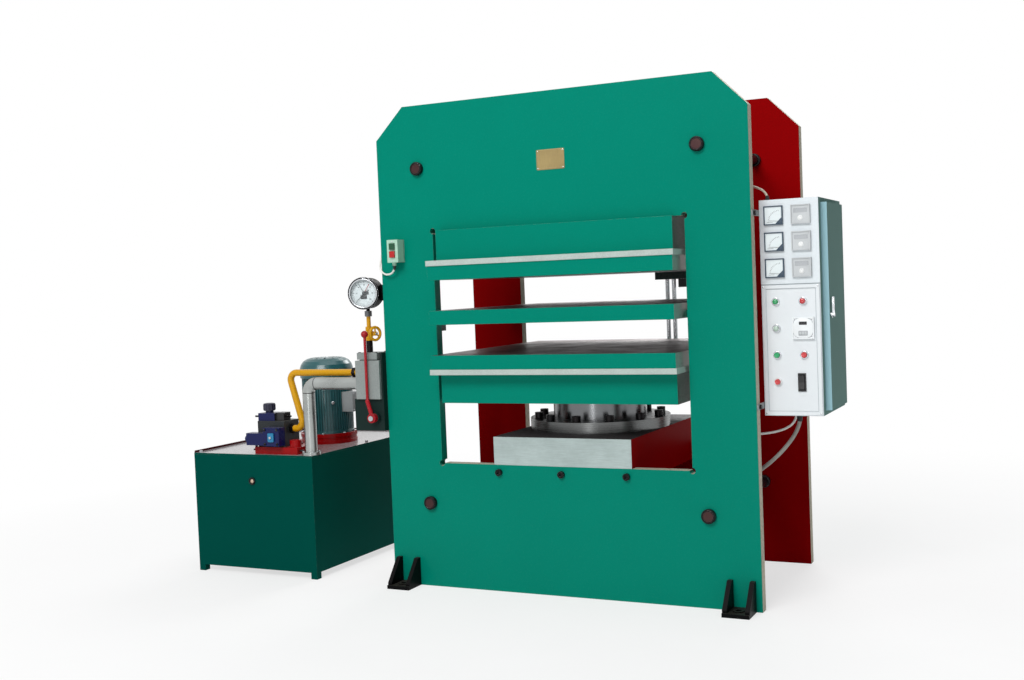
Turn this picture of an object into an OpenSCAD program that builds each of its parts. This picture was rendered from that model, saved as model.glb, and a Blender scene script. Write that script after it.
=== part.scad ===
// Plate vulcanizer: two-daylight heated press with a side control cabinet and a hydraulic unit
// Millimetres. Origin on the floor under the ram, +X right, +Y back, +Z up

/* [Press frame] */
// Width of each frame plate
frame_w = 1600; // [1580:5:1660]
// Height of each frame plate
frame_h = 2020; // [1980:5:2100]
// Thickness of each frame plate
plate_t = 45; // [40:1:55]
// Clear distance between the two frame plates
frame_gap = 780; // [770:5:820]
// Bevel of the two top corners
corner_cut = 132; // [90:1:160]
// Width of the window in each plate
window_w = 1090; // [1080:1:1120]
// Height of the window
window_h = 970; // [965:1:1000]
// Height of the window sill above the floor
sill_z = 525; // [510:1:545]
// Diameter of the drilled corners of the window
window_relief_d = 24; // [14:1:30]
// Distance of the tie rods from the centre line
tie_rod_x = 605; // [590:1:640]
// Height of the upper tie rods above the window
tie_rod_rise = 262; // [220:1:280]
// Drop of the lower tie rods below the sill
tie_rod_drop = 170; // [140:1:200]
// Diameter of a tie rod
tie_rod_d = 40; // [30:1:45]
// Diameter of a tie rod nut
tie_nut_d = 56; // [52:1:62]
// Height of a tie rod nut
tie_nut_h = 20; // [14:1:26]

/* [Feet] */
// Distance of a foot's centre from the centre line
foot_x = 724; // [700:1:735]
// Width of a foot
foot_w = 105; // [95:1:120]
// Length of a foot out from the plate
foot_l = 107; // [95:1:130]
// Thickness of a foot's base
foot_t = 15; // [12:1:20]
// Thickness of a foot's two gussets
gusset_t = 18; // [12:1:20]
// Height of the gussets
gusset_h = 118; // [90:1:140]
// Diameter of an anchor bolt hole
anchor_d = 22; // [18:1:24]
// Distance of an anchor bolt from the plate's face
anchor_reach = 60; // [55:1:70]

/* [Heated stack] */
// Width of a platen
platen_w = 1050; // [1020:1:1060]
// Depth of a platen from front to back
platen_l = 1060; // [1020:1:1100]
// Thickness of a platen
platen_t = 58; // [52:1:62]
// Thickness of an insulation board
board_t = 22; // [18:1:26]
// How far a board stands out past its platen on each side
board_lip = 4; // [2:1:6]
// Opening between two platens at rest
daylight = 125; // [110:1:128]
// Room left between the platens when the press is shut
shut_gap = 0.5; // [0.3:0.1:1]
// Width of the upper bed and the lower table
bed_w = 1020; // [980:1:1040]
// Depth of the upper bed and the lower table
bed_l = 950; // [900:1:980]
// Height of the upper bed
bed_h = 125; // [110:1:130]
// Height of the moving table
table_h = 120; // [100:1:124]
// Diameter of a heater rod
heater_d = 18; // [12:1:20]
// Heater rods in each platen
heater_count = 7; // [5:2:7]
// Distance between two heater rods
heater_pitch = 110; // [100:1:112]
// Length of a heater's terminal outside the platen
heater_stub = 18; // [10:1:24]

/* [Ram and cylinder] */
// Diameter of the ram
ram_d = 400; // [380:2:410]
// Clearance around the ram
ram_fit = 0.3; // [0.2:0.05:0.4]
// Wall of the hollow ram
ram_wall = 45; // [35:1:60]
// Width of the cylinder block, gland ring included
block_w = 600; // [590:2:620]
// Height of the cylinder block above the sill
block_h = 115; // [105:1:120]
// Depth of the keel that sits between the plates
keel_h = 70; // [60:1:90]
// Diameter of the barrel below the keel
barrel_d = 560; // [540:2:580]
// Length of the barrel, block and keel below the sill
barrel_l = 355; // [350:1:380]
// Thickness of the barrel's floor
barrel_floor = 70; // [50:1:75]
// Height of the gland ring
gland_t = 45; // [35:1:48]
// Depth of the gland's nose in the packing chamber
gland_nose = 20; // [14:1:24]
// Height of the packing
packing_h = 60; // [50:1:66]
// Width of the packing
packing_w = 22; // [16:1:24]
// Bolts around the gland
gland_bolt_count = 12; // [8:1:16]
// Diameter of a gland bolt
gland_bolt_d = 24; // [18:1:24]
// Radius of the gland bolt circle
gland_bolt_r = 265; // [258:1:272]
// Distance between the screws in the sill
sill_screw_pitch = 278; // [250:1:280]
// Drop of the sill screws below the sill
sill_screw_drop = 31; // [26:1:34]
// Diameter of a sill screw
sill_screw_d = 20; // [16:1:22]

/* [Rear rods] */
// Diameter of the two rods behind the platens
rear_rod_d = 20; // [16:1:21]
// Place of the fixed rod from the centre line
guide_rod_x = 132; // [120:1:134]
// Place of the trip rod from the centre line
trip_rod_x = 164; // [162:1:172]
// Distance of the rods behind the platens
rear_rod_reach = 30; // [26:1:34]
// Thickness of a rod lug
lug_t = 20; // [14:1:22]

/* [Valve column] */
// Distance of the valve block from the plate's edge, filled by its bracket
valve_gap = 8; // [6:1:12]
// Width of the valve block
valve_w = 120; // [110:1:130]
// Depth of the valve block
valve_l = 110; // [100:1:120]
// Front face of the valve block
valve_y = -480; // [-484:1:-474]
// Underside of the valve block
valve_z = 796; // [790:1:802]
// Height of the valve block
valve_h = 165; // [160:1:175]
// Height of the cap on the valve block
valve_cap_h = 33; // [26:1:38]
// Height of the hand valve under the block
hand_valve_h = 136; // [126:1:146]
// Length of the hand lever from its pivot to the ball
lever_l = 358; // [320:1:370]
// Diameter of the lever's ball
lever_ball_d = 31; // [26:1:34]
// Diameter of the gauge's case
gauge_d = 132; // [120:1:140]
// Height of the gauge's centre
gauge_z = 1248; // [1240:1:1256]
// Turn of the gauge towards the right
gauge_turn = 13; // [0:1:20]
// Turn of the gauge cock's wheel
wheel_turn = -19; // [-25:1:0]
// Diameter of the gauge cock's wheel
wheel_d = 67; // [56:1:70]

/* [Pipes] */
// Diameter of the return pipe
return_pipe_d = 54; // [48:1:56]
// Diameter of the pressure pipe
pressure_pipe_d = 30; // [26:1:32]
// Diameter of the cylinder's feed pipe
feed_pipe_d = 34; // [30:1:38]

/* [Hydraulic unit] */
// Width of the oil tank
tank_w = 655; // [640:1:670]
// Depth of the oil tank
tank_l = 900; // [880:1:920]
// Top of the oil tank's cover
tank_top = 546; // [540:1:552]
// Right side of the tank, from the centre line
tank_right = -1165; // [-1172:1:-1160]
// Front of the tank
tank_front = -495; // [-500:1:-490]
// Height of the tank's legs
leg_h = 28; // [24:1:40]
// Width of a tank leg
leg_w = 32; // [28:1:40]
// Wall of the tank
tank_wall = 5; // [4:1:6]
// Thickness of the tank's cover
cover_t = 8; // [6:1:10]
// Distance of the motor from the tank's right side
motor_inset_x = 231; // [225:1:240]
// Distance of the motor from the tank's front
motor_inset_y = 475; // [470:1:490]
// Diameter of the motor over its fins
motor_d = 238; // [230:2:242]
// Diameter of the motor's foot ring
motor_flange_d = 268; // [262:2:276]
// Height of the motor's foot ring
motor_flange_h = 46; // [40:1:52]
// Length of the motor's finned frame
motor_l = 276; // [266:1:286]
// Diameter of the fan cowl
cowl_d = 252; // [250:1:258]
// Height of the fan cowl
cowl_h = 92; // [86:1:98]
// Fins around the motor
fin_count = 60; // [48:2:64]
// Diameter of the motor's shaft
motor_shaft_d = 38; // [32:1:40]
// Clearance of shafts and pins
shaft_fit = 0.1; // [0.05:0.01:0.1]

/* [Manifold] */
// Right side of the manifold from the tank's right side
manifold_inset = 170; // [165:1:176]
// Width of the manifold block
manifold_w = 145; // [140:1:155]
// Depth of the manifold block
manifold_l = 110; // [104:1:118]
// Height of the manifold block
manifold_h = 115; // [110:1:120]
// Height of the red base under it
manifold_base_h = 31; // [26:1:36]
// Diameter of the relief valve's knob
relief_knob_d = 52; // [44:1:56]

/* [Control cabinet] */
// Thickness of the two straps that carry the cabinet
strap_t = 6; // [5:1:8]
// Height of a strap
strap_h = 22; // [20:1:30]
// Width of the cabinet, seen from the front
cab_w = 220; // [218:1:230]
// Depth of the cabinet
cab_l = 400; // [390:1:420]
// Front of the cabinet
cab_front = -340; // [-346:1:-330]
// Underside of the cabinet
cab_z = 729; // [720:1:740]
// Height of the cabinet
cab_h = 808; // [804:1:820]
// Sheet thickness of the cabinet
cab_wall = 4; // [3:1:5]
// Height of the meter field at the top
meter_field_h = 316; // [312:1:320]
// Distance between two rows of meters
meter_pitch = 98; // [96:1:100]
// Width of a square meter
meter_w = 71; // [68:1:72]
// Distance between the two columns on the front
column_pitch = 101; // [98:1:104]
// Distance between two rows of lamps and buttons
button_pitch = 100; // [98:1:102]
// Diameter of a panel button
panel_button_d = 20; // [18:1:21]
// Travel of a button
button_travel = 4; // [3:0.5:5]
// Clearance of buttons in their guides
button_fit = 0.4; // [0.3:0.05:0.5]
// Width of the timer
timer_w = 80; // [76:1:84]
// Depth of the door's pan
door_t = 24; // [20:1:28]
// Height of the door
door_h = 772; // [760:1:776]
// Width of the door
door_w = 285; // [280:1:300]
// Distance of the door behind the cabinet's front
door_inset = 35; // [32:1:40]

/* [Button station] */
// Width of the button station
station_w = 52; // [50:1:58]
// Height of the button station
station_h = 95; // [92:1:104]
// Depth of the button station
station_l = 54; // [50:1:60]
// Distance of the station from the centre line
station_x = 711; // [705:1:725]
// Underside of the button station
station_z = 1372; // [1366:1:1380]

/* [Hidden] */
$fn = 64;

// Gap that keeps pieces of one node separate solids where they seat on each other
seat = 0.1;

// Frame levels
half_w = frame_w / 2;
half_gap = frame_gap / 2;
face_y = half_gap + plate_t;
half_win = window_w / 2;
window_top = sill_z + window_h;
tie_z = [sill_z - tie_rod_drop, window_top + tie_rod_rise];
sill_screw_z = sill_z - sill_screw_drop;
strap_z = [cab_z + 40, cab_z + cab_h - 47];
plate_mid_y = half_gap + plate_t / 2;
strap_screw_d = 10;
anchor_y = face_y + anchor_reach;

// Stack levels, from the window's top down
bed_z = window_top - bed_h;
upper_board_z = bed_z - board_t;
upper_z = upper_board_z - platen_t;
middle_z = upper_z - daylight - platen_t;
lower_z = middle_z - daylight - platen_t;
lower_board_z = lower_z - board_t;
table_z = lower_board_z - table_h;
half_pw = platen_w / 2;
half_pl = platen_l / 2;
heater_fit = 0.2;
ear_t = 30;
ear_y = half_gap - 45;
ear_overlap = 45;
ear_reach = half_win + ear_overlap - half_pw;

// Cylinder levels
ram_r = ram_d / 2;
block_top = sill_z + block_h;
barrel_z = sill_z - barrel_l;
chamber_z = barrel_z + barrel_floor;
packing_z = block_top - gland_nose - packing_h;
guide_z = packing_z - 80;
ram_z = chamber_z + 16;
port_z = chamber_z + 45;
gland_bolt_depth = 45;
sill_screw_depth = 32;

// Rear rods
rod_y = half_pl + rear_rod_reach;
shelf_z = upper_z - 34;
shelf_t = 20;
shelf_clear = 2;

// Valve column
valve_x1 = -half_w - valve_gap;
valve_x0 = valve_x1 - valve_w;
valve_top = valve_z + valve_h;
cap_top = valve_top + valve_cap_h;
hand_z = valve_z - hand_valve_h;
lever_x = valve_x0 + 83;
lever_z = hand_z + 56;
lever_y = valve_y - 10;
lever_hub_t = 20;
lever_root_l = 75;
lever_set = 22;
lever_lean = asin(lever_set / lever_root_l);
lever_root_h = lever_root_l * cos(lever_lean);
boss_y = valve_y + 0.3;
stem_x = valve_x0 + 40;
stem_y = valve_y + 60;
cock_z = cap_top + 80;
union_z = gauge_z - gauge_d / 2 - 34;
dial_y = -38;
case_back = 30;
contact_box_reach = 14;
feed_x = valve_x0 + 48;
feed_z = hand_z + 60;

// Hydraulic unit
tank_x0 = tank_right - tank_w;
tank_y1 = tank_front + tank_l;
motor_x = tank_right - motor_inset_x;
motor_y = tank_front + motor_inset_y;
motor_z = tank_top + motor_flange_h;
motor_top = motor_z + motor_l;
cowl_z = motor_top - 12;
fin_t = 4;
terminal_box_z = motor_z + 101;
terminal_box_h = 93;
terminal_box_w = 80;
core_d = 116;
core_inset = 70;
shaft_r = motor_shaft_d / 2;
manifold_x1 = tank_right - manifold_inset;
manifold_x0 = manifold_x1 - manifold_w;
manifold_y0 = tank_front + 40;
manifold_y1 = manifold_y0 + manifold_l;
manifold_z = tank_top + manifold_base_h;
manifold_top = manifold_z + manifold_h;
relief_x = manifold_x0 + 35;
relief_y = manifold_y0 + 45;
relief_z = manifold_top + 43;
strainer_rise = 60;
delivery_inset = 60;

// Pipe routes
return_x = tank_right - 35;
return_y = valve_y + 35;
return_z = valve_z + 65;
return_bend = 42;
pressure_x = manifold_x1 + 28;
pressure_y = valve_y + 80;
pressure_low_z = manifold_z + 78;
pressure_z = valve_z + 109;
pressure_bend = 32.125;
pressure_lean = asin(0.28);
pressure_rise = pressure_z - pressure_low_z - 2 * pressure_bend;
pressure_shift = (2 * pressure_bend - pressure_rise * sin(pressure_lean)) / cos(pressure_lean);
pressure_leg = pressure_rise * cos(pressure_lean) - pressure_shift * sin(pressure_lean);
feed_bend = 70;
socket_depth = 18;

// Cabinet
cab_x0 = half_w + strap_t;
cab_x1 = cab_x0 + cab_w;
cab_y1 = cab_front + cab_l;
cab_top = cab_z + cab_h;
field_z = cab_top - meter_field_h;
left_col = cab_x0 + 54;
right_col = left_col + column_pitch;
meter_z = [for (i = [0:2]) cab_top - 59 - i * meter_pitch];
button_z = [for (i = [0:3]) field_z - 64 - i * button_pitch];
panel_face = cab_front - 3;
rim_face = cab_front - 6;
rocker_x = right_col - 11;
rocker_z = button_z[3] - 2;
pin_r = 2.5;
ammeter_l = 45;
controller_l = 70;
door_x1 = cab_x1 + door_t;
door_y0 = cab_front + door_inset;
door_y1 = door_y0 + door_w;
door_z = cab_z + (cab_h - door_h) / 2;
hinge_x = door_x1 - door_t / 2;
hinge_y = door_y1 + 8;
hinge_r = 6;
hinge_pin_r = 3.5;
hinge_zs = [cab_z + 110, cab_top - 170];
hinge_l = 30;
handle_y = door_y0 + 22;
handle_rise = 373;
handle_z = cab_z + handle_rise;
handle_l = 66;
handle_shaft_r = 6;
tray_rise = 50;
tray_drop = 330;
tray_post_inset = 12;

// Button station
station_y = -face_y - station_l;
key_w = 24;
key_h = 26;
key_z = [station_z + 67, station_z + 34];
key_depth = 20;

// Junction boxes behind the front plate: from the centre line, underside, height and depth
button_box_x = [-half_w + 60, -half_w + 120];
button_box_z = station_z + 84;
button_box_h = 80;
button_box_l = 44;
upper_box_x = [half_w - 260, half_w - 178];
upper_box_z = cab_top + 33;
upper_box_h = 80;
upper_box_l = 90;
heater_box_x = [half_w - 245, half_w - 161];
heater_box_z = cab_z - 299;
heater_box_h = 240;
heater_box_l = 110;
gland_l = 15;
low_gland_l = 9;

// Leads: a straight end in each gland, and bends between them that leave for q and arrive from r
lead_sides = 10;
lead_rings = 14;
lead_end = 10;
function bend_points(p, q, r, s, n) = [for (i = [0:n]) let (t = i / n, u = 1 - t)
  u * u * u * p + 3 * u * u * t * q + 3 * u * t * t * r + t * t * t * s];
station_exit = [-station_x - 9, station_y + 27, station_z - 15];
loop_side = [-half_w - 10, -face_y + 5, station_z - 2];
loop_rise = [0, 21, 56.4];
button_entry = [button_box_x[0] - gland_l - 3, -half_gap + 20, button_box_z + 40];
button_route = concat([station_exit + [0, 0, 7]],
  bend_points(station_exit, station_exit - [0, 0, 50], loop_side - loop_rise, loop_side, 8),
  [for (p = bend_points(loop_side, loop_side + loop_rise, button_entry - [60, 0, 0], button_entry, 8))
    if (p != loop_side) p],
  [button_entry + [lead_end, 0, 0]]);
upper_exit = [upper_box_x[1] + gland_l + 3, -half_gap + 70, upper_box_z + 40];
upper_entry = [cab_x0 + 20, cab_front + 51, cab_top + low_gland_l];
upper_route = concat([upper_exit - [lead_end, 0, 0]],
  bend_points(upper_exit, upper_exit + [62, 0, 0], upper_entry + [0, 0, 57], upper_entry, lead_rings),
  [upper_entry - [0, 0, 3]]);
heater_exit = [heater_box_x[1] + gland_l + 3, -half_gap + 70, heater_box_z + 223];
heater_entry = [cab_x0 + 53, cab_front + 278, cab_z - 23];
heater_route = concat([heater_exit - [lead_end, 0, 0]],
  bend_points(heater_exit, heater_exit + [76, 0, 0], heater_entry - [0, 0, 92], heater_entry, lead_rings),
  [heater_entry + [0, 0, 15]]);
supply_exit = [heater_box_x[1] + gland_l + 3, -half_gap + 70, heater_box_z + 36];
supply_entry = [cab_x0 + 89, cab_front + 180, cab_z - 29];
supply_route = concat([supply_exit - [lead_end, 0, 0]],
  bend_points(supply_exit, supply_exit + [88, 0, 0], supply_entry - [0, 0, 91], supply_entry, lead_rings),
  [supply_entry + [0, 0, 21]]);
button_lead_d = 8;
heater_lead_d = 9;
supply_lead_d = 15;

function unit(v) = v / norm(v);
function last(v) = v[len(v) - 1];
function clamp_i(i, n) = max(0, min(n - 1, i));
function route_dir(p, i) = unit(p[clamp_i(i + 1, len(p))] - p[clamp_i(i - 1, len(p))]);
function ring_points(c, dir, r, n) = let (u = unit(cross(dir, [1, -1, 0])), w = cross(dir, u))
  [for (k = [0:n - 1]) c + r * (cos(360 * k / n) * u + sin(360 * k / n) * w)];

// A tube along a list of points
module lead(points, d) {
  n = lead_sides;
  rows = len(points);
  rings = [for (i = [0:rows - 1]) each ring_points(points[i], route_dir(points, i), d / 2, n)];
  sides = [for (i = [0:rows - 2], k = [0:n - 1])
    let (a = i * n + k, b = i * n + (k + 1) % n) each [[a, b, b + n], [a, b + n, a + n]]];
  first_cap = [for (k = [0:n - 1]) n - 1 - k];
  last_cap = [for (k = [0:n - 1]) (rows - 1) * n + k];
  polyhedron(points = rings, faces = concat(sides, [first_cap], [last_cap]), convexity = 6);
}

// A box between two limits on each axis
module box(x, y, z) {
  translate([x[0], y[0], z[0]]) cube([x[1] - x[0], y[1] - y[0], z[1] - z[0]]);
}

// Round bars along each axis between two limits
module bar_x(r, x, y, z) { translate([x[0], y, z]) rotate([0, 90, 0]) cylinder(r = r, h = x[1] - x[0]); }
module bar_y(r, x, y, z) { translate([x, y[1], z]) rotate([90, 0, 0]) cylinder(r = r, h = y[1] - y[0]); }
module bar_z(r, x, y, z) { translate([x, y, z[0]]) cylinder(r = r, h = z[1] - z[0]); }

// A hexagon head or nut along Z, given its width across flats
module hex_z(flats, x, y, z) {
  translate([x, y, z[0]]) cylinder(d = flats / cos(30), h = z[1] - z[0], $fn = 6);
}

// A quarter bend of a pipe, from +X at its start towards +Y at its end, about the origin
module arc_bend(bend_r, r, a) { rotate_extrude(angle = a) translate([bend_r, 0]) circle(r = r); }

module quarter_bend(bend_r, r) { arc_bend(bend_r, r, 90); }

// A bend from straight down to a little past level, cut square to the pipe that leaves it
module lean_bend(bend_r, r, lean) {
  far = bend_r + r + 5;
  difference() {
    rotate([0, 0, -90]) arc_bend(bend_r, r, 150);
    rotate([0, 0, lean]) box([0, far], [0, far], [-r - 1, r + 1]);
  }
}

// Press frame
module frame_plate(y0) {
  through = [y0 - 1, y0 + plate_t + 1];
  mid_y = y0 + plate_t / 2;
  top_x = half_w - corner_cut;
  top_z = frame_h - corner_cut;
  difference() {
    translate([0, y0 + plate_t, 0]) rotate([90, 0, 0]) linear_extrude(plate_t)
      polygon([[-half_w, 0], [half_w, 0], [half_w, top_z], [top_x, frame_h],
        [-top_x, frame_h], [-half_w, top_z]]);
    box([-half_win, half_win], through, [sill_z, window_top]);
    for (x = [-half_win, half_win], z = [sill_z, window_top])
      bar_y(window_relief_d / 2, x, through, z);
    for (x = [-tie_rod_x, tie_rod_x], z = tie_z) bar_y(tie_rod_d / 2 + 0.5, x, through, z);
    for (i = [-1:1]) bar_y(sill_screw_d / 2 + 0.5, i * sill_screw_pitch, through, sill_screw_z);
    for (z = strap_z) bar_x(strap_screw_d / 2 + 0.2, [half_w - 25, half_w + 1], mid_y, z);
  }
}

module front_plate() { color([0, 0.5, 0.42]) frame_plate(-face_y); }

module rear_plate() { color([0.45, 0, 0]) frame_plate(half_gap); }

module tie_rods() {
  color([0.3, 0.3, 0.32]) for (x = [-tie_rod_x, tie_rod_x], z = tie_z)
    bar_y(tie_rod_d / 2, x, [-face_y - tie_nut_h + 2, face_y + tie_nut_h - 2], z);
}

// A round nut along Y with a bevelled outer edge; side is the way its bevel faces
module round_nut(x, y, z, side) {
  bevel = 4;
  translate([x, y, z]) rotate([-90 * side, 0, 0]) difference() {
    rotate_extrude() polygon([[0, 0], [tie_nut_d / 2, 0], [tie_nut_d / 2, tie_nut_h - bevel],
      [tie_nut_d / 2 - bevel, tie_nut_h], [0, tie_nut_h]]);
    translate([0, 0, -1]) cylinder(d = tie_rod_d + 0.2, h = tie_nut_h + 2);
  }
}

module sill_screw(x, side) {
  head_h = 14;
  translate([x, side * face_y, sill_screw_z]) rotate([-90 * side, 0, 0]) {
    difference() {
      cylinder(d = sill_screw_d * 1.4, h = head_h);
      translate([0, 0, head_h - 7]) cylinder(d = sill_screw_d * 0.8, h = 8, $fn = 6);
    }
    translate([0, 0, -plate_t - sill_screw_depth + 2])
      cylinder(d = sill_screw_d, h = plate_t + sill_screw_depth - 1);
  }
}

module frame_fasteners() {
  color([0.08, 0.08, 0.08]) {
    for (x = [-tie_rod_x, tie_rod_x], z = tie_z, side = [-1, 1]) {
      round_nut(x, side * face_y, z, side);
      round_nut(x, side * half_gap, z, -side);
    }
    for (i = [-1:1], side = [-1, 1]) sill_screw(i * sill_screw_pitch, side);
  }
}

module foot_bracket() {
  gusset_x = foot_w / 2 - gusset_t;
  difference() {
    union() {
      box([-foot_w / 2, foot_w / 2], [0, foot_l], [0, foot_t]);
      for (x = [-foot_w / 2, gusset_x]) translate([x + gusset_t, 0, 0]) rotate([90, 0, -90])
        linear_extrude(gusset_t) polygon([[0, foot_t], [-foot_l + 8, foot_t], [-foot_l + 8, foot_t + 10],
          [-22, gusset_h], [0, gusset_h]]);
      bar_z(anchor_d / 2 + 11, 0, anchor_reach, [0, foot_t + 4]);
    }
    bar_z(anchor_d / 2, 0, anchor_reach, [-1, foot_t + 6]);
  }
}

module foot_brackets() {
  color([0.05, 0.05, 0.06]) for (x = [-foot_x, foot_x]) {
    translate([x, -face_y, 0]) mirror([0, 1, 0]) foot_bracket();
    translate([x, face_y, 0]) foot_bracket();
  }
}

// Heated stack
module upper_bed() {
  keel = [window_top, window_top + 60];
  color([0, 0.5, 0.42]) union() {
    box([-bed_w / 2, bed_w / 2], [-bed_l / 2, bed_l / 2], [bed_z, window_top]);
    box([-block_w / 2, block_w / 2], [-half_gap, half_gap], keel);
  }
}

module insulation_board(z) {
  x = half_pw + board_lip;
  y = half_pl + board_lip;
  color([0.78, 0.82, 0.8]) box([-x, x], [-y, y], [z, z + board_t]);
}

module upper_board() { insulation_board(upper_board_z); }

module lower_board() { insulation_board(lower_board_z); }

module heaters(z, r, x0, x1) {
  for (i = [0:heater_count - 1])
    bar_x(r, [x0, x1], (i - (heater_count - 1) / 2) * heater_pitch, z + platen_t / 2);
}

module platen(z) {
  difference() {
    box([-half_pw, half_pw], [-half_pl, half_pl], [z, z + platen_t]);
    heaters(z, heater_d / 2 + heater_fit, -half_pw + 40, half_pw + 1);
  }
}

module heater_set(z) {
  color([0.6, 0.6, 0.62]) heaters(z, heater_d / 2, -half_pw + 40.2, half_pw + heater_stub);
}

module upper_platen() {
  color([0, 0.5, 0.42]) platen(upper_z);
  heater_set(upper_z);
}

module lower_platen() {
  color([0, 0.5, 0.42]) platen(lower_z);
  heater_set(lower_z);
}

module middle_platen() {
  ear_z = [middle_z, middle_z + ear_t];
  lug_z = [middle_z, middle_z + lug_t];
  color([0, 0.5, 0.42]) difference() {
    union() {
      platen(middle_z);
      for (side = [0, 1]) mirror([0, side, 0]) {
        box([half_pw - 1, half_pw + ear_reach], [ear_y, half_gap - 5], ear_z);
        box([-half_pw - ear_reach, 1 - half_pw], [ear_y, half_gap - 5], ear_z);
      }
      box([guide_rod_x - 22, trip_rod_x + 22], [half_pl - 1, rod_y + 22], lug_z);
    }
    for (x = [guide_rod_x, trip_rod_x])
      bar_z(rear_rod_d / 2 + 1, x, rod_y, [middle_z - 1, middle_z + lug_t + 1]);
  }
  heater_set(middle_z);
}

module platen_stops() {
  stop_x = [half_win + 5, half_win + ear_overlap + 8];
  color([0.1, 0.3, 0.25]) for (sx = [0, 1], sy = [0, 1]) mirror([sx, 0, 0]) mirror([0, sy, 0])
    box(stop_x, [ear_y, half_gap], [middle_z - 30, middle_z]);
}

module ram_table() {
  color([0, 0.5, 0.42]) box([-bed_w / 2, bed_w / 2], [-bed_l / 2, bed_l / 2], [table_z, table_z + table_h]);
}

// Ram and cylinder
module ram() {
  color([0.75, 0.76, 0.78]) difference() {
    bar_z(ram_r, 0, 0, [ram_z, table_z]);
    bar_z(ram_r - ram_wall, 0, 0, [ram_z - 1, table_z - 70]);
  }
}

module gland_bolt_ring(r, z) {
  for (i = [0:gland_bolt_count - 1]) rotate([0, 0, i * 360 / gland_bolt_count])
    bar_z(r, gland_bolt_r, 0, z);
}

module cylinder_body() {
  barrel_r = barrel_d / 2;
  half_block = block_w / 2;
  color([0.68, 0.74, 0.74]) difference() {
    union() {
      box([-half_block, half_block], [-face_y, face_y], [sill_z, block_top]);
      box([-half_block, half_block], [-half_gap, half_gap], [sill_z - keel_h, sill_z]);
      bar_z(barrel_r, 0, 0, [barrel_z, sill_z - keel_h]);
    }
    bar_z(ram_r + 15, 0, 0, [chamber_z, guide_z]);
    bar_z(ram_r + ram_fit, 0, 0, [guide_z - 1, packing_z + 1]);
    bar_z(ram_r + packing_w, 0, 0, [packing_z, block_top + 1]);
    gland_bolt_ring(gland_bolt_d / 2 + 0.2, [block_top - gland_bolt_depth - 1, block_top + 1]);
    for (i = [-1:1], side = [-1, 1]) bar_y(sill_screw_d / 2 + 0.2, i * sill_screw_pitch,
      side > 0 ? [half_gap - sill_screw_depth, half_gap + 1] : [-half_gap - 1, sill_screw_depth - half_gap],
      sill_screw_z);
    bar_x(feed_pipe_d / 2 - 5, [-barrel_r - 1, -ram_r], 0, port_z);
    bar_x(feed_pipe_d / 2 + 0.1, [-barrel_r - 1, socket_depth - barrel_r], 0, port_z);
  }
}

module ram_packing() {
  color([0.12, 0.12, 0.12]) difference() {
    bar_z(ram_r + packing_w - 0.2, 0, 0, [packing_z, packing_z + packing_h]);
    bar_z(ram_r + ram_fit, 0, 0, [packing_z - 1, packing_z + packing_h + 1]);
  }
}

module gland_ring() {
  color([0.72, 0.73, 0.75]) difference() {
    union() {
      bar_z(block_w / 2, 0, 0, [block_top, block_top + gland_t]);
      bar_z(ram_r + packing_w - 0.2, 0, 0, [block_top - gland_nose, block_top + 1]);
    }
    bar_z(ram_r + ram_fit, 0, 0, [block_top - gland_nose - 1, block_top + gland_t + 1]);
    gland_bolt_ring(gland_bolt_d / 2 + 0.5, [block_top - 1, block_top + gland_t + 1]);
  }
}

module gland_bolts() {
  top = block_top + gland_t;
  color([0.12, 0.12, 0.13]) for (i = [0:gland_bolt_count - 1])
    rotate([0, 0, i * 360 / gland_bolt_count]) {
      bar_z(gland_bolt_d / 2, gland_bolt_r, 0, [block_top - gland_bolt_depth, top + 1]);
      difference() {
        bar_z(gland_bolt_d * 0.75, gland_bolt_r, 0, [top, top + gland_bolt_d]);
        hex_z(gland_bolt_d * 0.8, gland_bolt_r, 0, [top + gland_bolt_d / 2, top + gland_bolt_d + 1]);
      }
    }
}

// Rods behind the platens
module rod_bracket() {
  shelf = [shelf_z, shelf_z + shelf_t];
  back = half_pl + 15;
  switch_x = trip_rod_x + 26;
  color([0.05, 0.25, 0.22]) difference() {
    union() {
      box([guide_rod_x - 50, trip_rod_x + 130], [half_pl, back], [upper_z, upper_z + platen_t - 4]);
      box([guide_rod_x - 50, trip_rod_x + 130], [half_pl + shelf_clear, back], [shelf_z, upper_z + 1]);
      box([guide_rod_x - 50, trip_rod_x + 70], [half_pl + shelf_clear, rod_y + 25], shelf);
    }
    bar_z(rear_rod_d / 2 + 0.2, guide_rod_x, rod_y, [shelf_z - 1, shelf_z + shelf_t + 1]);
    bar_z(rear_rod_d / 2 + 1, trip_rod_x, rod_y, [shelf_z - 1, shelf_z + shelf_t + 1]);
  }
  color([0.75, 0.75, 0.77]) union() {
    bar_z(rear_rod_d / 2, guide_rod_x, rod_y, [lower_board_z, shelf_z + shelf_t + 1]);
    hex_z(rear_rod_d * 1.4, guide_rod_x, rod_y, [shelf_z + shelf_t + seat, shelf_z + shelf_t + 14]);
  }
  color([0.08, 0.12, 0.12]) box([switch_x, switch_x + 38], [back, rod_y + 20], [shelf_z - 38, shelf_z - seat]);
}

module trip_rod() {
  lug = [lower_z + 8, lower_z + 8 + lug_t];
  color([0.2, 0.2, 0.22]) union() {
    box([trip_rod_x - 15, trip_rod_x + 15], [half_pl, rod_y + 15], lug);
    bar_z(rear_rod_d / 2, trip_rod_x, rod_y, [lug[0], shelf_z + shelf_t + 26]);
  }
}

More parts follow.
